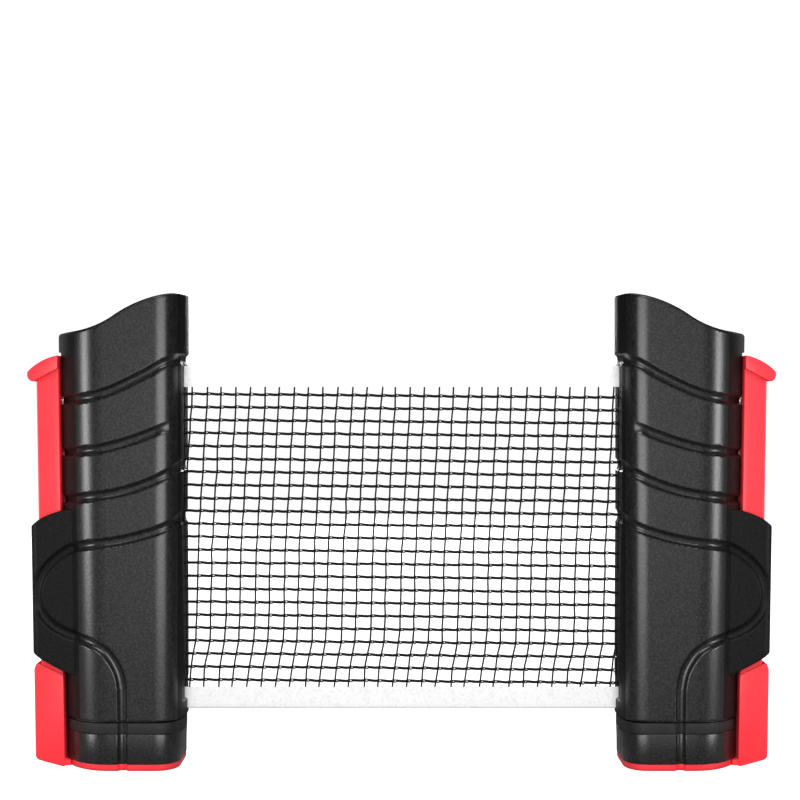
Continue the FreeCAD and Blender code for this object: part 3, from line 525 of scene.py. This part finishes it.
def sleeve():
    """Guide sleeve of the front half, round the channel that the slider runs in."""
    top = arc_height((rail_x(SLEEVE_TOP) - SLEEVE_THICKNESS, SLEEVE_TOP), (-152.0, 108.3),
                     (SLEEVE_INNER_X, 111.2))
    foot = arc_height((SLEEVE_INNER_X, 39.3), (-151.3, 44.4),
                      (rail_x(SLEEVE_FOOT) - SLEEVE_THICKNESS, SLEEVE_FOOT))
    middle = (SLEEVE_TOP + SLEEVE_FOOT) / 2
    out_x = rail_x(middle) - SLEEVE_THICKNESS
    start_x = SLEEVE_INNER_X + 1.0
    angles = np.radians(np.linspace(90, 180, 9))[1:-1]
    front = np.linspace(start_x, out_x + SLEEVE_ROUND, 30)
    side = np.linspace(-SLEEVE_DEPTH + SLEEVE_ROUND, -HALF_GAP, 10)
    corner = np.stack([out_x + SLEEVE_ROUND + SLEEVE_ROUND * np.cos(angles),
                       -SLEEVE_DEPTH + SLEEVE_ROUND - SLEEVE_ROUND * np.sin(angles)], 1)
    outer = np.vstack([np.stack([front, np.full(len(front), -SLEEVE_DEPTH)], 1), corner,
                       np.stack([np.full(len(side), out_x), side], 1)])
    normal = np.zeros_like(outer)
    normal[:len(front), 1] = -1
    normal[len(front):-len(side)] = np.stack([np.cos(angles), -np.sin(angles)], 1)
    normal[-len(side):, 0] = -1
    channel_x = rail_x(middle) - CHANNEL_THICKNESS
    channel_y = outer[:, 1] * CHANNEL_HALF / (SLEEVE_DEPTH - SLEEVE_ROUND)
    inner = np.stack([np.maximum(outer[:, 0], channel_x), np.clip(channel_y, -CHANNEL_HALF, 0)], 1)
    edge = 0.9
    rows = []

    def add(points, z):
        x = points[:, 0] - RAIL_LEAN * (z - middle)
        rows.append(np.stack([x, points[:, 1], z], 1))

    top_z, foot_z = top(outer[:, 0]), foot(outer[:, 0])
    inner_top, inner_foot = top(inner[:, 0]), foot(inner[:, 0])
    for v in np.linspace(0, 1, 12, endpoint=False):
        add(inner, inner_top + (inner_foot - inner_top) * v)
    for v in (0.0, 0.5):
        points = inner + (outer - normal * edge - inner) * v
        add(points, inner_foot + (foot_z - inner_foot) * v)
    for angle in np.radians((0, 22, 45, 68, 90)):
        add(outer - normal * edge * (1 - math.sin(angle)), foot_z + edge * (1 - math.cos(angle)))
    for v in np.linspace(0, 1, 110)[1:-1]:
        z = foot_z + edge + (top_z - foot_z - 2 * edge) * v
        depth = groove_depth(outer[:, 0] - RAIL_LEAN * (z - middle), z)
        add(outer - normal * depth[:, None], z)
    for angle in np.radians((90, 68, 45, 22, 0)):
        add(outer - normal * edge * (1 - math.sin(angle)), top_z - edge * (1 - math.cos(angle)))
    points = inner + (outer - normal * edge - inner) * 0.5
    add(points, inner_top + (top_z - inner_top) * 0.5)
    grid = np.array(rows)
    count, cols = grid.shape[:2]
    faces = quads(count, cols, close_rows=True)
    faces.append([r * cols for r in range(count)])
    faces.append([r * cols + cols - 1 for r in range(count - 1, -1, -1)])
    obj = new_object("sleeve", grid.reshape(-1, 3), faces)
    # The whole sleeve gets the painted shade, a darker and duller copy of the black plastic
    mark_faces(obj, [1] * len(obj.data.polygons))
    return obj


def mark_shaded_flanks(shell):
    """Marks the steep outer corner and the inner end for painted shade, a darker and duller copy of
    the black plastic.
    """
    section = half_section()
    index = []
    for polygon in shell.data.polygons:
        x, _, z = np.array(polygon.center) / MM
        outer_x = section[OUTER_FLANK, 0] + RAIL_LEAN * max(RAIL_STEP_Z - z, 0)
        upright = abs(polygon.normal.z) < 0.6
        index.append(int(upright and (x < outer_x or x > section[INNER_FLANK, 0])))
    mark_faces(shell, index)


def front_shell():
    """Front half of the left housing, with its half of the guide sleeve."""
    outer = shell_grid(0.0, HOUSING_BOTTOM, 0.0, BOTTOM_ROUND, TOP_ROUND, True)
    soften_parting(outer)
    inner = shell_grid(WALL, FLOOR_TOP, WALL, 0.3, 0.5, False)
    inner[:, 0, 1] = inner[:, -1, 1].clip(max=-HALF_GAP)
    # The inner skin keeps these rows and columns of the outer one
    foot, slot = 8, 8 + FOOT_ROWS
    head = slot + SLOT_ROWS
    top = head + HEAD_ROWS
    row_ids = [0, 2, 4, 6, foot, slot - 1, slot, *range(slot + 17, head - 8, 22), head - 1, head]
    row_ids += [top - 1] + [top + k for k in (14, 29, 44, 47, 49, 52, 55, 57)]
    col_ids = [0, 2, *range(4, 53, 8), 64, 92, *range(120, 169, 8)]
    verts, faces = thick_shell(outer, inner[np.ix_(row_ids, col_ids)], row_ids, col_ids)
    shell = new_object("left_front_housing", verts, faces)
    # The steep flanks get the painted shade
    mark_shaded_flanks(shell)
    return apply_boolean(shell, [sleeve()], "UNION")


def rear_shell(front):
    """Mirror image of the front half, with the bosses and holes of the shell screws."""
    shell = mirrored(front, "left_rear_housing", 1)
    bosses, holes = [], []
    for x, z in SCREWS:
        surface = HALF_DEPTH - 1.2
        inner_end = SCREW_SEAT - 1.5
        centre = (x, (surface + inner_end) / 2, z)
        bosses.append(cylinder("boss", centre, SCREW_BOSS_RADIUS, surface - inner_end))
        holes.append(cylinder("hole", (x, SCREW_SEAT + 12, z), SCREW_HOLE_RADIUS, 24))
    apply_boolean(shell, bosses, "UNION")
    return apply_boolean(shell, holes, "DIFFERENCE")


def post_slab(name, levels, inset, end):
    """Closed slab with the post's plan outline, from (height, edge inset) levels upward."""
    half = half_section(inset, counts=(2, 34, 60, 24))
    ring = np.vstack([half, half[-2:0:-1] * (1, -1)])
    half_normal = outward(half)
    half_normal[0], half_normal[-1] = (-1, 0), (1, 0)
    normal = np.vstack([half_normal, half_normal[-2:0:-1] * (1, -1)])
    rows = []
    for z, shrink in levels:
        depth = groove_depth(leaned(ring, z)[:, 0], np.full(len(ring), z))
        points = leaned(ring - normal * (shrink + depth)[:, None], z)
        x = np.clip(points[:, 0], rail_x(z) + shrink, np.interp(z, *np.array(end).T) - shrink)
        rows.append(np.stack([x, points[:, 1], np.full(len(ring), z)], 1))
    return new_object(name, np.vstack(rows), capped(len(rows), len(ring)))


def rounded_levels(low, high, radius, top=True):
    """Levels of a slab with a round lower edge and maybe a round upper one, as (height, inset)."""
    quarter = np.radians(np.linspace(0, 90, 4))
    steps = [(radius * (1 - math.cos(a)), radius * (1 - math.sin(a))) for a in quarter]
    levels = [(low + rise, inset) for rise, inset in steps]
    if top:
        return levels + [(high - rise, inset) for rise, inset in steps[::-1]]
    return levels + [(high, 0.0)]


# Slider

def bevelled_prism(name, outline, half_width, radius, segments=3):
    """Solid over an outline in x and z, with its edges rounded."""
    work = bmesh.new()
    front = [work.verts.new((x * MM, -half_width * MM, z * MM)) for x, z in outline]
    back = [work.verts.new((x * MM, half_width * MM, z * MM)) for x, z in outline]
    work.faces.new(front)
    work.faces.new(back[::-1])
    count = len(outline)
    for k in range(count):
        work.faces.new((front[k], back[k], back[(k + 1) % count], front[(k + 1) % count]))
    bmesh.ops.recalc_face_normals(work, faces=work.faces)
    edges = [e for e in work.edges if e.calc_face_angle(0) > math.radians(20)]
    bmesh.ops.bevel(work, geom=edges, offset=radius * MM, segments=segments, profile=0.5,
                    affect="EDGES", clamp_overlap=True)
    mesh = bpy.data.meshes.new(name)
    work.to_mesh(mesh)
    work.free()
    return linked(name, mesh)


def slider():
    """Red moulding with base plate, lower block, strip and thumb hook."""
    def strip_x(z, extra=0.0):
        return rail_x(z) - STRIP_GAP - extra

    wide = SLEEVE_THICKNESS
    block = [
        (strip_x(0), 0.0), (strip_x(0) - 1.0, 0.0), (rail_x(3.2) - wide + 1.0, 2.9),
        (rail_x(4.2) - wide, 4.2), (rail_x(42.2) - wide, 42.2), (rail_x(43.6) - wide + 0.6, 43.6),
        (-157.6, 44.4), (-156.4, 44.5), (-147.3, 40.3), (-146.2, 39.6), (strip_x(38.6), 38.6),
    ]
    strip = [
        (strip_x(30), 30), (strip_x(30, STRIP_THICKNESS), 30),
        (strip_x(168, STRIP_THICKNESS), 168), (strip_x(172), 172),
    ]
    inner = strip_x(177)
    hook_top = circle_points((-161.1, 170.2), (-155.1, 174.8), (inner, 177.3), 7)
    hook_tip = circle_points((-158.5, 165.9), (-160.8, 167.2), (-161.2, 169.7), 5)
    hook = [(inner, 171.4)] + [tuple(p) for p in hook_tip] + [tuple(p) for p in hook_top]
    web_out, web_in = rail_x(0) - 2.5, rail_x(0) + 2
    web = [(web_in, 0.4), (web_out, 0.4), (web_out, BASE_TOP), (web_in, BASE_TOP)]
    levels = rounded_levels(0, BASE_TOP, 1.2, top=False)
    body = post_slab("left_clamp_moulding", levels, BASE_INSET, BASE_END)
    parts = [
        bevelled_prism("block", block, BLOCK_HALF, 1.0),
        bevelled_prism("web", web, BLOCK_HALF - 0.5, 0.05, 1),
        bevelled_prism("strip", strip, STRIP_HALF, 0.8),
        bevelled_prism("hook", hook, HOOK_HALF, 0.8),
    ]
    return apply_boolean(body, parts, "UNION")


def circle_points(a, b, c, count):
    """Points on the arc through three points."""
    ux, uy, radius = circle_through(a, b, c)
    start, mid, end = (math.atan2(p[1] - uy, p[0] - ux) for p in (a, b, c))
    turn = (end - start + math.pi) % (2 * math.pi) - math.pi
    via = (mid - start + math.pi) % (2 * math.pi) - math.pi
    if turn * via < 0:
        turn -= math.copysign(2 * math.pi, turn)
    angles = start + turn * np.linspace(0, 1, count)
    return np.stack([ux + radius * np.cos(angles), uy + radius * np.sin(angles)], 1)


# Net

def tube(points, radius, sides=6):
    """Vertices and faces of a tube along points, closed at both ends."""
    points = np.asarray(points, float)
    along = np.gradient(points, axis=0)
    along /= np.linalg.norm(along, axis=1)[:, None]
    side = np.cross(along, (0.0, 1.0, 0.0))
    side /= np.linalg.norm(side, axis=1)[:, None]
    up = np.cross(side, along)
    angles = np.linspace(0, 2 * math.pi, sides, endpoint=False)
    cosine, sine = np.cos(angles)[None, :, None], np.sin(angles)[None, :, None]
    ring = (side[:, None] * cosine + up[:, None] * sine) * radius
    verts = (points[:, None] + ring).reshape(-1, 3)
    return verts, capped(len(points), sides)


def merged(name, pieces):
    """One object from several lists of vertices and faces."""
    verts, faces, offset = [], [], 0
    for piece_verts, piece_faces in pieces:
        verts.append(piece_verts)
        faces += [[v + offset for v in face] for face in piece_faces]
        offset += len(piece_verts)
    return new_object(name, np.vstack(verts), faces, weld=False)


RANDOM = np.random.default_rng(7)
NET_LEFT, NET_RIGHT = TIP_X - 3.0, -TIP_X + 3.5
MIDDLE_X = (NET_LEFT + NET_RIGHT) / 2
ROW_Z = np.linspace(FIRST_ROW_Z, LAST_ROW_Z, ROWS)
SAG = RANDOM.normal(0, SAG_SIZE, (ROWS, COLUMNS))
SWAY = RANDOM.normal(0, SWAY_SIZE, (ROWS, COLUMNS))
SWAY += ZIGZAG * np.where(np.arange(COLUMNS) % 2, 1, -1)


def crossing(row, column):
    """Place of a knot of the net."""
    lean = np.interp(row, *np.array(LEAN).T)
    x = FIRST_COLUMN_X + COLUMN_PITCH * column + lean + SWAY[row, column]
    x = np.clip(x, NET_LEFT + 0.6, NET_RIGHT - 0.6)
    return np.array([x, 0.0, ROW_Z[row] + ROW_TILT * (x - MIDDLE_X) + SAG[row, column]])


def cord_along(row):
    """One of the thick cords that run along the net; it dips between knots."""
    knots = [crossing(row, column) for column in range(COLUMNS)]
    knots = [knot for knot in knots if NET_LEFT + 1.0 < knot[0] < NET_RIGHT - 1.0]
    points = [(NET_LEFT, 0, ROW_Z[row] + ROW_TILT * (NET_LEFT - MIDDLE_X))]
    for a, b in zip(knots, knots[1:]):
        points += [a] + [a + (b - a) * share + (0, 0, rise) for share, rise in DIPS]
    points.append(knots[-1])
    points.append((NET_RIGHT, 0, ROW_Z[row] + ROW_TILT * (NET_RIGHT - MIDDLE_X)))
    return catmull(points, 3)


def cord_up(column, top, bottom, steps):
    """One of the thin upright cords, which runs a little into both bands."""
    points = [crossing(row, column) + (0, 0.12, 0) for row in range(ROWS)]

    def drawn_on(last, before, z):
        return last + (last - before) * (z - last[2]) / (last[2] - before[2])

    ends = drawn_on(points[0], points[1], top), drawn_on(points[-1], points[-2], bottom)
    return catmull([ends[0], *points, ends[1]], steps)


def knot_loop(row, column):
    """Loop of cord in front of a crossing."""
    centre = crossing(row, column) + KNOT_AT
    points = [centre + (KNOT_HALF_WIDTH * math.cos(a), 0, KNOT_HALF_HEIGHT * math.sin(a))
              for a in np.linspace(0, 2 * math.pi, 10)]
    return tube(points, KNOT_RADIUS, 5)


def knot_thread(row, column, radius):
    """Pale core thread that shows in the loop."""
    centre = crossing(row, column) + THREAD_AT
    angles = np.linspace(0, 2 * math.pi, 8, endpoint=False)
    directions = [(math.cos(t) * math.cos(a), math.sin(t), math.cos(t) * math.sin(a))
                  for t in np.radians((-65, -25, 25, 65)) for a in angles]
    return centre + np.array(directions) * radius, capped(4, len(angles))


def net_band(name, free_z, fold_z):
    """White tape folded over the net's edge, as a U whose two layers lie on the cords."""
    way = math.copysign(1, fold_z - free_z)
    centre = (TAPE_THICKNESS - CLOTH) / 2
    edge = fold_z - way * TAPE_THICKNESS / 2
    layers = [(centre, z) for z in np.linspace(free_z, edge, 6)]
    layers += [(centre * math.cos(a), edge + way * centre * math.sin(a))
               for a in np.radians(np.linspace(0, 180, 7))[1:-1]]
    layers += [(-centre, z) for z in np.linspace(edge, free_z, 6)]
    layers = np.array(layers)
    normal = np.gradient(layers, axis=0)
    normal = np.stack([normal[:, 1], -normal[:, 0]], 1)
    normal /= np.linalg.norm(normal, axis=1)[:, None]
    section = np.vstack([layers + normal * CLOTH / 2, (layers - normal * CLOTH / 2)[::-1]])
    line = band_line()
    verts = []
    for (x, y), (nx, ny) in line:
        for depth, z in section:
            verts.append((x + nx * depth, y + ny * depth, z))
    return new_object(name, verts, capped(len(line), len(section)))


def band_line():
    """Places and sideways directions along a tape, from the roll to the net's end bar."""
    entry = np.array([TIP_X - TAPE_ENTRY, 0.0])
    start = entry - ROLL_FROM_ENTRY
    xs = np.linspace(entry[0], BAR_LOW[0] - 0.1, 150)
    points = np.array([start, (start + entry) / 2] + [(x, 0.0) for x in xs])
    along = np.gradient(points, axis=0)
    along /= np.linalg.norm(along, axis=1)[:, None]
    return [(p, (-d[1], d[0])) for p, d in zip(points, along)]


# Materials

def material(name, colour, roughness, **settings):
    """Principled material; other settings are named as the shader's inputs are."""
    mat = bpy.data.materials.new(name)
    mat.use_nodes = True
    shader = mat.node_tree.nodes["Principled BSDF"]
    shader.inputs["Base Color"].default_value = (*colour, 1)
    shader.inputs["Roughness"].default_value = roughness
    for key, value in settings.items():
        shader.inputs[key.replace("_", " ")].default_value = value
    return mat


def add_node(mat, kind, **inputs):
    """Shader node with values for some of its inputs."""
    node = mat.node_tree.nodes.new(kind)
    for key, value in inputs.items():
        node.inputs[key].default_value = value
    return node


def link(mat, source, output, target, socket):
    """Joins an output of one shader node to an input of another."""
    mat.node_tree.links.new(source.outputs[output], target.inputs[socket])


def grain(mat, size, strength, distance=0.0001, detail=2.0):
    """Fine moulded grain as bump, with sizes in metres."""
    shader = mat.node_tree.nodes["Principled BSDF"]
    coords = add_node(mat, "ShaderNodeTexCoord")
    noise = add_node(mat, "ShaderNodeTexNoise", Scale=1 / size, Detail=detail)
    bump = add_node(mat, "ShaderNodeBump", Strength=strength, Distance=distance)
    link(mat, coords, "Object", noise, "Vector")
    link(mat, noise, "Fac", bump, "Height")
    link(mat, bump, "Normal", shader, "Normal")


def mottle(mat, first, second, size, low=0.35, high=0.65):
    """Slow change between two colours."""
    shader = mat.node_tree.nodes["Principled BSDF"]
    coords = add_node(mat, "ShaderNodeTexCoord")
    noise = add_node(mat, "ShaderNodeTexNoise", Scale=1 / size, Detail=3.0)
    ramp = add_node(mat, "ShaderNodeValToRGB")
    ramp.color_ramp.elements[0].position = low
    ramp.color_ramp.elements[0].color = (*first, 1)
    ramp.color_ramp.elements[1].position = high
    ramp.color_ramp.elements[1].color = (*second, 1)
    link(mat, coords, "Object", noise, "Vector")
    link(mat, noise, "Fac", ramp, "Fac")
    link(mat, ramp, "Color", shader, "Base Color")


def black_plastic():
    mat = material("black_abs", (0.009, 0.009, 0.0095), 0.3)
    mottle(mat, (0.001, 0.001, 0.001), (0.024, 0.024, 0.024), 0.0008, 0.38, 0.74)
    grain(mat, 0.0009, 0.4, 0.0001, 3.0)
    return mat


def painted_shade_plastic():
    """Painted shade: a darker, duller copy of the black plastic with a finer grain, for the guide
    sleeve and the steep flanks of the housing.
    """
    mat = material("matt_black_abs", (0.006, 0.006, 0.006), 0.5, IOR=1.22)
    mottle(mat, (0.003, 0.003, 0.003), (0.009, 0.009, 0.009), 0.0008)
    grain(mat, 0.0006, 0.25, 0.0001)
    return mat


def red_plastic():
    mat = material("red_abs", (0.9, 0.03, 0.045), 0.38)
    mottle(mat, (0.88, 0.027, 0.04), (0.92, 0.033, 0.05), 0.02)
    grain(mat, 0.0006, 0.12, 0.0001)
    return mat


def rubber():
    mat = material("black_rubber", (0.009, 0.009, 0.009), 0.6, Specular_IOR_Level=0.35)
    mottle(mat, (0.008, 0.008, 0.008), (0.011, 0.011, 0.011), 0.004)
    grain(mat, 0.0003, 0.4, 0.0001)
    return mat


def white_cloth():
    """Plain woven tape: fine crossing ridges and faint blotches of tone."""
    mat = material("white_tape", (0.93, 0.93, 0.93), 0.85)
    shader = mat.node_tree.nodes["Principled BSDF"]
    shader.inputs["Sheen Weight"].default_value = 0.2
    coords = add_node(mat, "ShaderNodeTexCoord")
    heights = []
    for direction in ("X", "Z"):
        wave = add_node(mat, "ShaderNodeTexWave", Scale=520.0, Distortion=0.6)
        wave.bands_direction = direction
        link(mat, coords, "Object", wave, "Vector")
        heights.append(wave)
    both = add_node(mat, "ShaderNodeMath")
    both.operation = "MULTIPLY"
    link(mat, heights[0], "Fac", both, 0)
    link(mat, heights[1], "Fac", both, 1)
    mottle(mat, (0.84, 0.84, 0.845), (0.95, 0.95, 0.95), 0.0012, 0.3, 0.5)
    bump = add_node(mat, "ShaderNodeBump", Strength=0.35, Distance=0.0001)
    link(mat, both, "Value", bump, "Height")
    link(mat, bump, "Normal", shader, "Normal")
    return mat


def cord(name, colour):
    """Dull twisted thread."""
    mat = material(name, colour, 0.8, Specular_IOR_Level=0.2)
    grain(mat, 0.0002, 0.5, 0.0001)
    return mat


def steel():
    mat = material("zinc_steel", (0.55, 0.55, 0.56), 0.33, Metallic=1.0)
    mottle(mat, (0.5, 0.5, 0.51), (0.6, 0.6, 0.6), 0.003)
    return mat


def white_plastic():
    mat = material("white_acetal", (0.8, 0.8, 0.78), 0.4)
    mottle(mat, (0.78, 0.78, 0.76), (0.83, 0.83, 0.81), 0.01)
    return mat


def dress(obj, mat, marked=None):
    """Gives a piece its material, and maybe another one for its marked faces."""
    mats = [mat, marked] if marked else [mat]
    index = np.zeros(len(obj.data.polygons), np.int32)
    obj.data.polygons.foreach_get("material_index", index)
    obj.data.materials.clear()
    for mat in mats:
        obj.data.materials.append(mat)
    obj.data.polygons.foreach_set("material_index", np.minimum(index, len(mats) - 1))


def dress_nodes(mats):
    """Materials for the CAD nodes that stay."""
    by_slot = {entry["node"]: entry["material_slot"] for entry in frame["record"]["subparts"]}
    for name, node in frame["nodes"].items():
        node.data.materials.clear()
        node.data.materials.append(mats[by_slot[name]])


# Studio

def studio():
    """White floor that rolls up into a backdrop, and soft lamps."""
    mat = bpy.data.materials.new("white_paper")
    mat.use_nodes = True
    tree = mat.node_tree
    tree.nodes.clear()
    output = tree.nodes.new("ShaderNodeOutputMaterial")
    diffuse = tree.nodes.new("ShaderNodeBsdfDiffuse")
    diffuse.inputs["Color"].default_value = (0.5, 0.5, 0.5, 1)
    glow = tree.nodes.new("ShaderNodeEmission")
    glow.inputs["Strength"].default_value = 0.92
    total = tree.nodes.new("ShaderNodeAddShader")
    path = tree.nodes.new("ShaderNodeLightPath")
    bright = tree.nodes.new("ShaderNodeMixShader")
    tree.links.new(path.outputs["Is Camera Ray"], bright.inputs[0])
    dim = tree.nodes.new("ShaderNodeBsdfDiffuse")
    dim.inputs["Color"].default_value = (0.2, 0.2, 0.2, 1)
    tree.links.new(dim.outputs[0], bright.inputs[1])
    tree.links.new(diffuse.outputs[0], total.inputs[0])
    tree.links.new(glow.outputs[0], total.inputs[1])
    tree.links.new(total.outputs[0], bright.inputs[2])
    tree.links.new(bright.outputs[0], output.inputs[0])

    profile = [(-6.0, 0.0), (2.0, 0.0)]
    profile += [(2.0 + math.sin(a), 1 - math.cos(a)) for a in np.radians(np.linspace(6, 90, 15))]
    profile += [(3.0, 6.0)]
    verts = [(x / MM, y / MM, z / MM) for y, z in profile for x in (-8.0, 8.0)]
    floor = new_object("paper", verts, quads(len(profile), 2))
    smooth(floor)
    floor.data.materials.append(mat)

    world = bpy.data.worlds.new("room")
    world.use_nodes = True
    background = world.node_tree.nodes["Background"]
    background.inputs["Color"].default_value = (1, 1, 1, 1)
    background.inputs["Strength"].default_value = 0.06
    bpy.context.scene.world = world

    lamps = {name: lamp(name, *settings) for name, settings in LAMPS.items()}
    for side, sign in (("left", -1), ("right", 1)):
        for name, (place, aim, size, power) in POST_LAMPS.items():
            name = side + "_" + name
            place, aim = (place[0] * sign, *place[1:]), (aim[0] * sign, *aim[1:])
            lamps[name] = lamp(name, place, aim, size, power)
    return lamps


def lamp(name, place, aim, size, power):
    """Rectangular lamp that looks at a point."""
    data = bpy.data.lights.new(name, "AREA")
    data.shape = "RECTANGLE"
    data.size, data.size_y = size
    data.energy = power
    obj = linked(name, data)
    obj.location = place
    obj.rotation_mode = "QUATERNION"
    obj.rotation_quaternion = (Vector(aim) - Vector(place)).to_track_quat("-Z", "Y")
    obj.visible_camera = False
    return obj


def keep_off(light, pieces):
    """Shades pieces from a lamp, as a flag beside it would."""
    shaded = bpy.data.collections.new(light.name + "_flag")
    for piece in pieces:
        shaded.objects.link(piece)
    light.light_linking.receiver_collection = shaded
    for entry in shaded.collection_objects:
        entry.light_linking.link_state = "EXCLUDE"


def camera():
    """Level view from 0.84 m in front."""
    data = bpy.data.cameras.new("photo_view")
    data.sensor_width = 36.0
    data.lens = data.sensor_width * CAMERA_FOCAL_PIXELS / PHOTO_PIXELS
    obj = linked("photo_view", data)
    obj.location = CAMERA_PLACE
    obj.rotation_euler = (math.radians(90), 0, 0)
    bpy.context.scene.camera = obj
    bpy.context.scene.view_settings.view_transform = "Standard"


# Assembly

def build_post(mats):
    """All new pieces of the left post, and their mirror images for the right one."""
    def jaw_part(name, low, high):
        return post_slab(name, rounded_levels(low, high, 0.35), JAW_INSET, JAW_END)

    posts = {"left": [], "right": []}
    front = front_shell()
    # Object, carrier, node it replaces, material slot and smoothing angle
    pieces = [
        (front, "housing", "front_shell", "black_plastic", 75),
        (rear_shell(front), "housing", "rear_shell", "black_plastic", 75),
        (slider(), "clamp", "clamp_slider", "red_plastic", 35),
        (jaw_part("left_lower_jaw", BLOCK_LOW[2], BLOCK_HIGH[2]), "clamp", "jaw_block",
         "black_plastic", 50),
        (jaw_part("left_lower_pad", PAD_LOW[2], PAD_HIGH[2]), "clamp", "jaw_pad",
         "black_rubber", 50),
    ]
    for obj, carrier, node, slot, angle in pieces:
        smooth(obj, angle)
        copy = mirrored(obj, obj.name.replace("left_", "right_"), 0)
        for piece, side in ((obj, "left"), (copy, "right")):
            post = {"left": "reel_post", "right": "anchor_post"}[side]
            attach(piece, post if carrier == "housing" else side + "_clamp")
            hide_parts(side + "_" + node)
            # Marked faces of the housing get the painted shade, a darker and duller copy of the
            # black plastic
            marked = mats["painted_shade_plastic"] if "shell" in node else None
            dress(piece, mats[slot], marked)
            posts[side].append(piece)
    return posts


def build_net(mats):
    """Tapes, cords and knots; each point gets a share of the right post's travel, which is not
    used.
    """
    bands = [
        ("net_top_tape", BAND_LOW[2], BAND_HIGH[2], "net_top_band"),
        ("net_foot_tape", FOOT_BAND_HIGH[2], FOOT_BAND_LOW[2], "net_bottom_band"),
    ]
    for name, free_z, fold_z, node in bands:
        band = net_band(name, free_z, fold_z)
        net_part(band, mats["white_cloth"], angle=50)
        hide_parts(node)
    along = merged("net_cords_along", [tube(cord_along(r), ALONG_RADIUS, 8) for r in range(ROWS)])
    net_part(along, mats["net_cord"])
    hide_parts("net_mesh")

    top, bottom = BAND_LOW[2] + CORD_IN_TAPE, FOOT_BAND_HIGH[2] - CORD_IN_TAPE
    tubes, shares = [], []
    for copy in range(COPIES):
        for column in range(COLUMNS):
            line = cord_up(column, top, bottom, 1 if copy else 4)
            tubes.append(tube(line, UP_RADIUS * (0.9 if copy else 1), 4 if copy else 7))
            share = (column + copy / (COPIES - 1)) / (COLUMNS - 1)
            shares += [min(share, 1.0)] * len(tubes[-1][0])
    net_part(merged("net_cords_up", tubes), mats["thin_cord"], shares)
    loops, threads, shares, thread_shares = [], [], [], []
    for row in range(ROWS):
        for column in range(COLUMNS):
            if NET_LEFT + 3.0 < crossing(row, column)[0] < NET_RIGHT - 3.0:
                loops.append(knot_loop(row, column))
                threads.append(knot_thread(row, column, RANDOM.uniform(*THREAD_SIZES)))
                shares += [column / (COLUMNS - 1)] * len(loops[-1][0])
                thread_shares += [column / (COLUMNS - 1)] * len(threads[-1][0])
    net_part(merged("net_knots", loops), mats["net_cord"], shares)
    pale = merged("net_knot_threads", threads)
    net_part(pale, mats["knot_thread"], thread_shares)
    names = ("net_top_tape", "net_foot_tape", "net_cords_along", "net_cords_up", "net_knots",
             "net_knot_threads")
    return [bpy.data.objects[name] for name in names]


def net_part(obj, mat, shares=None, angle=80):
    """Dresses a piece of the net.

    The shares run from 0 to 1 and are not used. Without any, a point's place between the posts
    gives its share, which is not used either.
    """
    smooth(obj, angle)
    dress(obj, mat)
    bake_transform(obj)
    if shares is None:
        co = np.zeros(len(obj.data.vertices) * 3, np.float32)
        obj.data.vertices.foreach_get("co", co)
        shares = np.clip((co[::3] / MM - TIP_X) / (-2 * TIP_X), 0, 1)


def main():
    camera()
    lamps = studio()
    mats = {
        "black_plastic": black_plastic(),
        "red_plastic": red_plastic(),
        "black_rubber": rubber(),
        # Painted shade for the guide sleeve and the steep flanks
        "painted_shade_plastic": painted_shade_plastic(),
        "white_cloth": white_cloth(),
        "net_cord": cord("black_cord", (0.006, 0.006, 0.006)),
        "thin_cord": cord("grey_cord", (0.02, 0.02, 0.02)),
        "knot_thread": cord("pale_thread", (0.75, 0.75, 0.75)),
        "steel": steel(),
        "white_plastic": white_plastic(),
    }
    dress_nodes(mats)
    posts = build_post(mats)
    net = build_net(mats)
    for side, other in (("left", "right"), ("right", "left")):
        keep_off(lamps[side + "_rim"], posts[other])
        keep_off(lamps[side + "_outer"], posts[other] + net)
        keep_off(lamps[side + "_inner"], posts[other] + net)
    keep_off(lamps["net_box"], posts["left"] + posts["right"])


main()
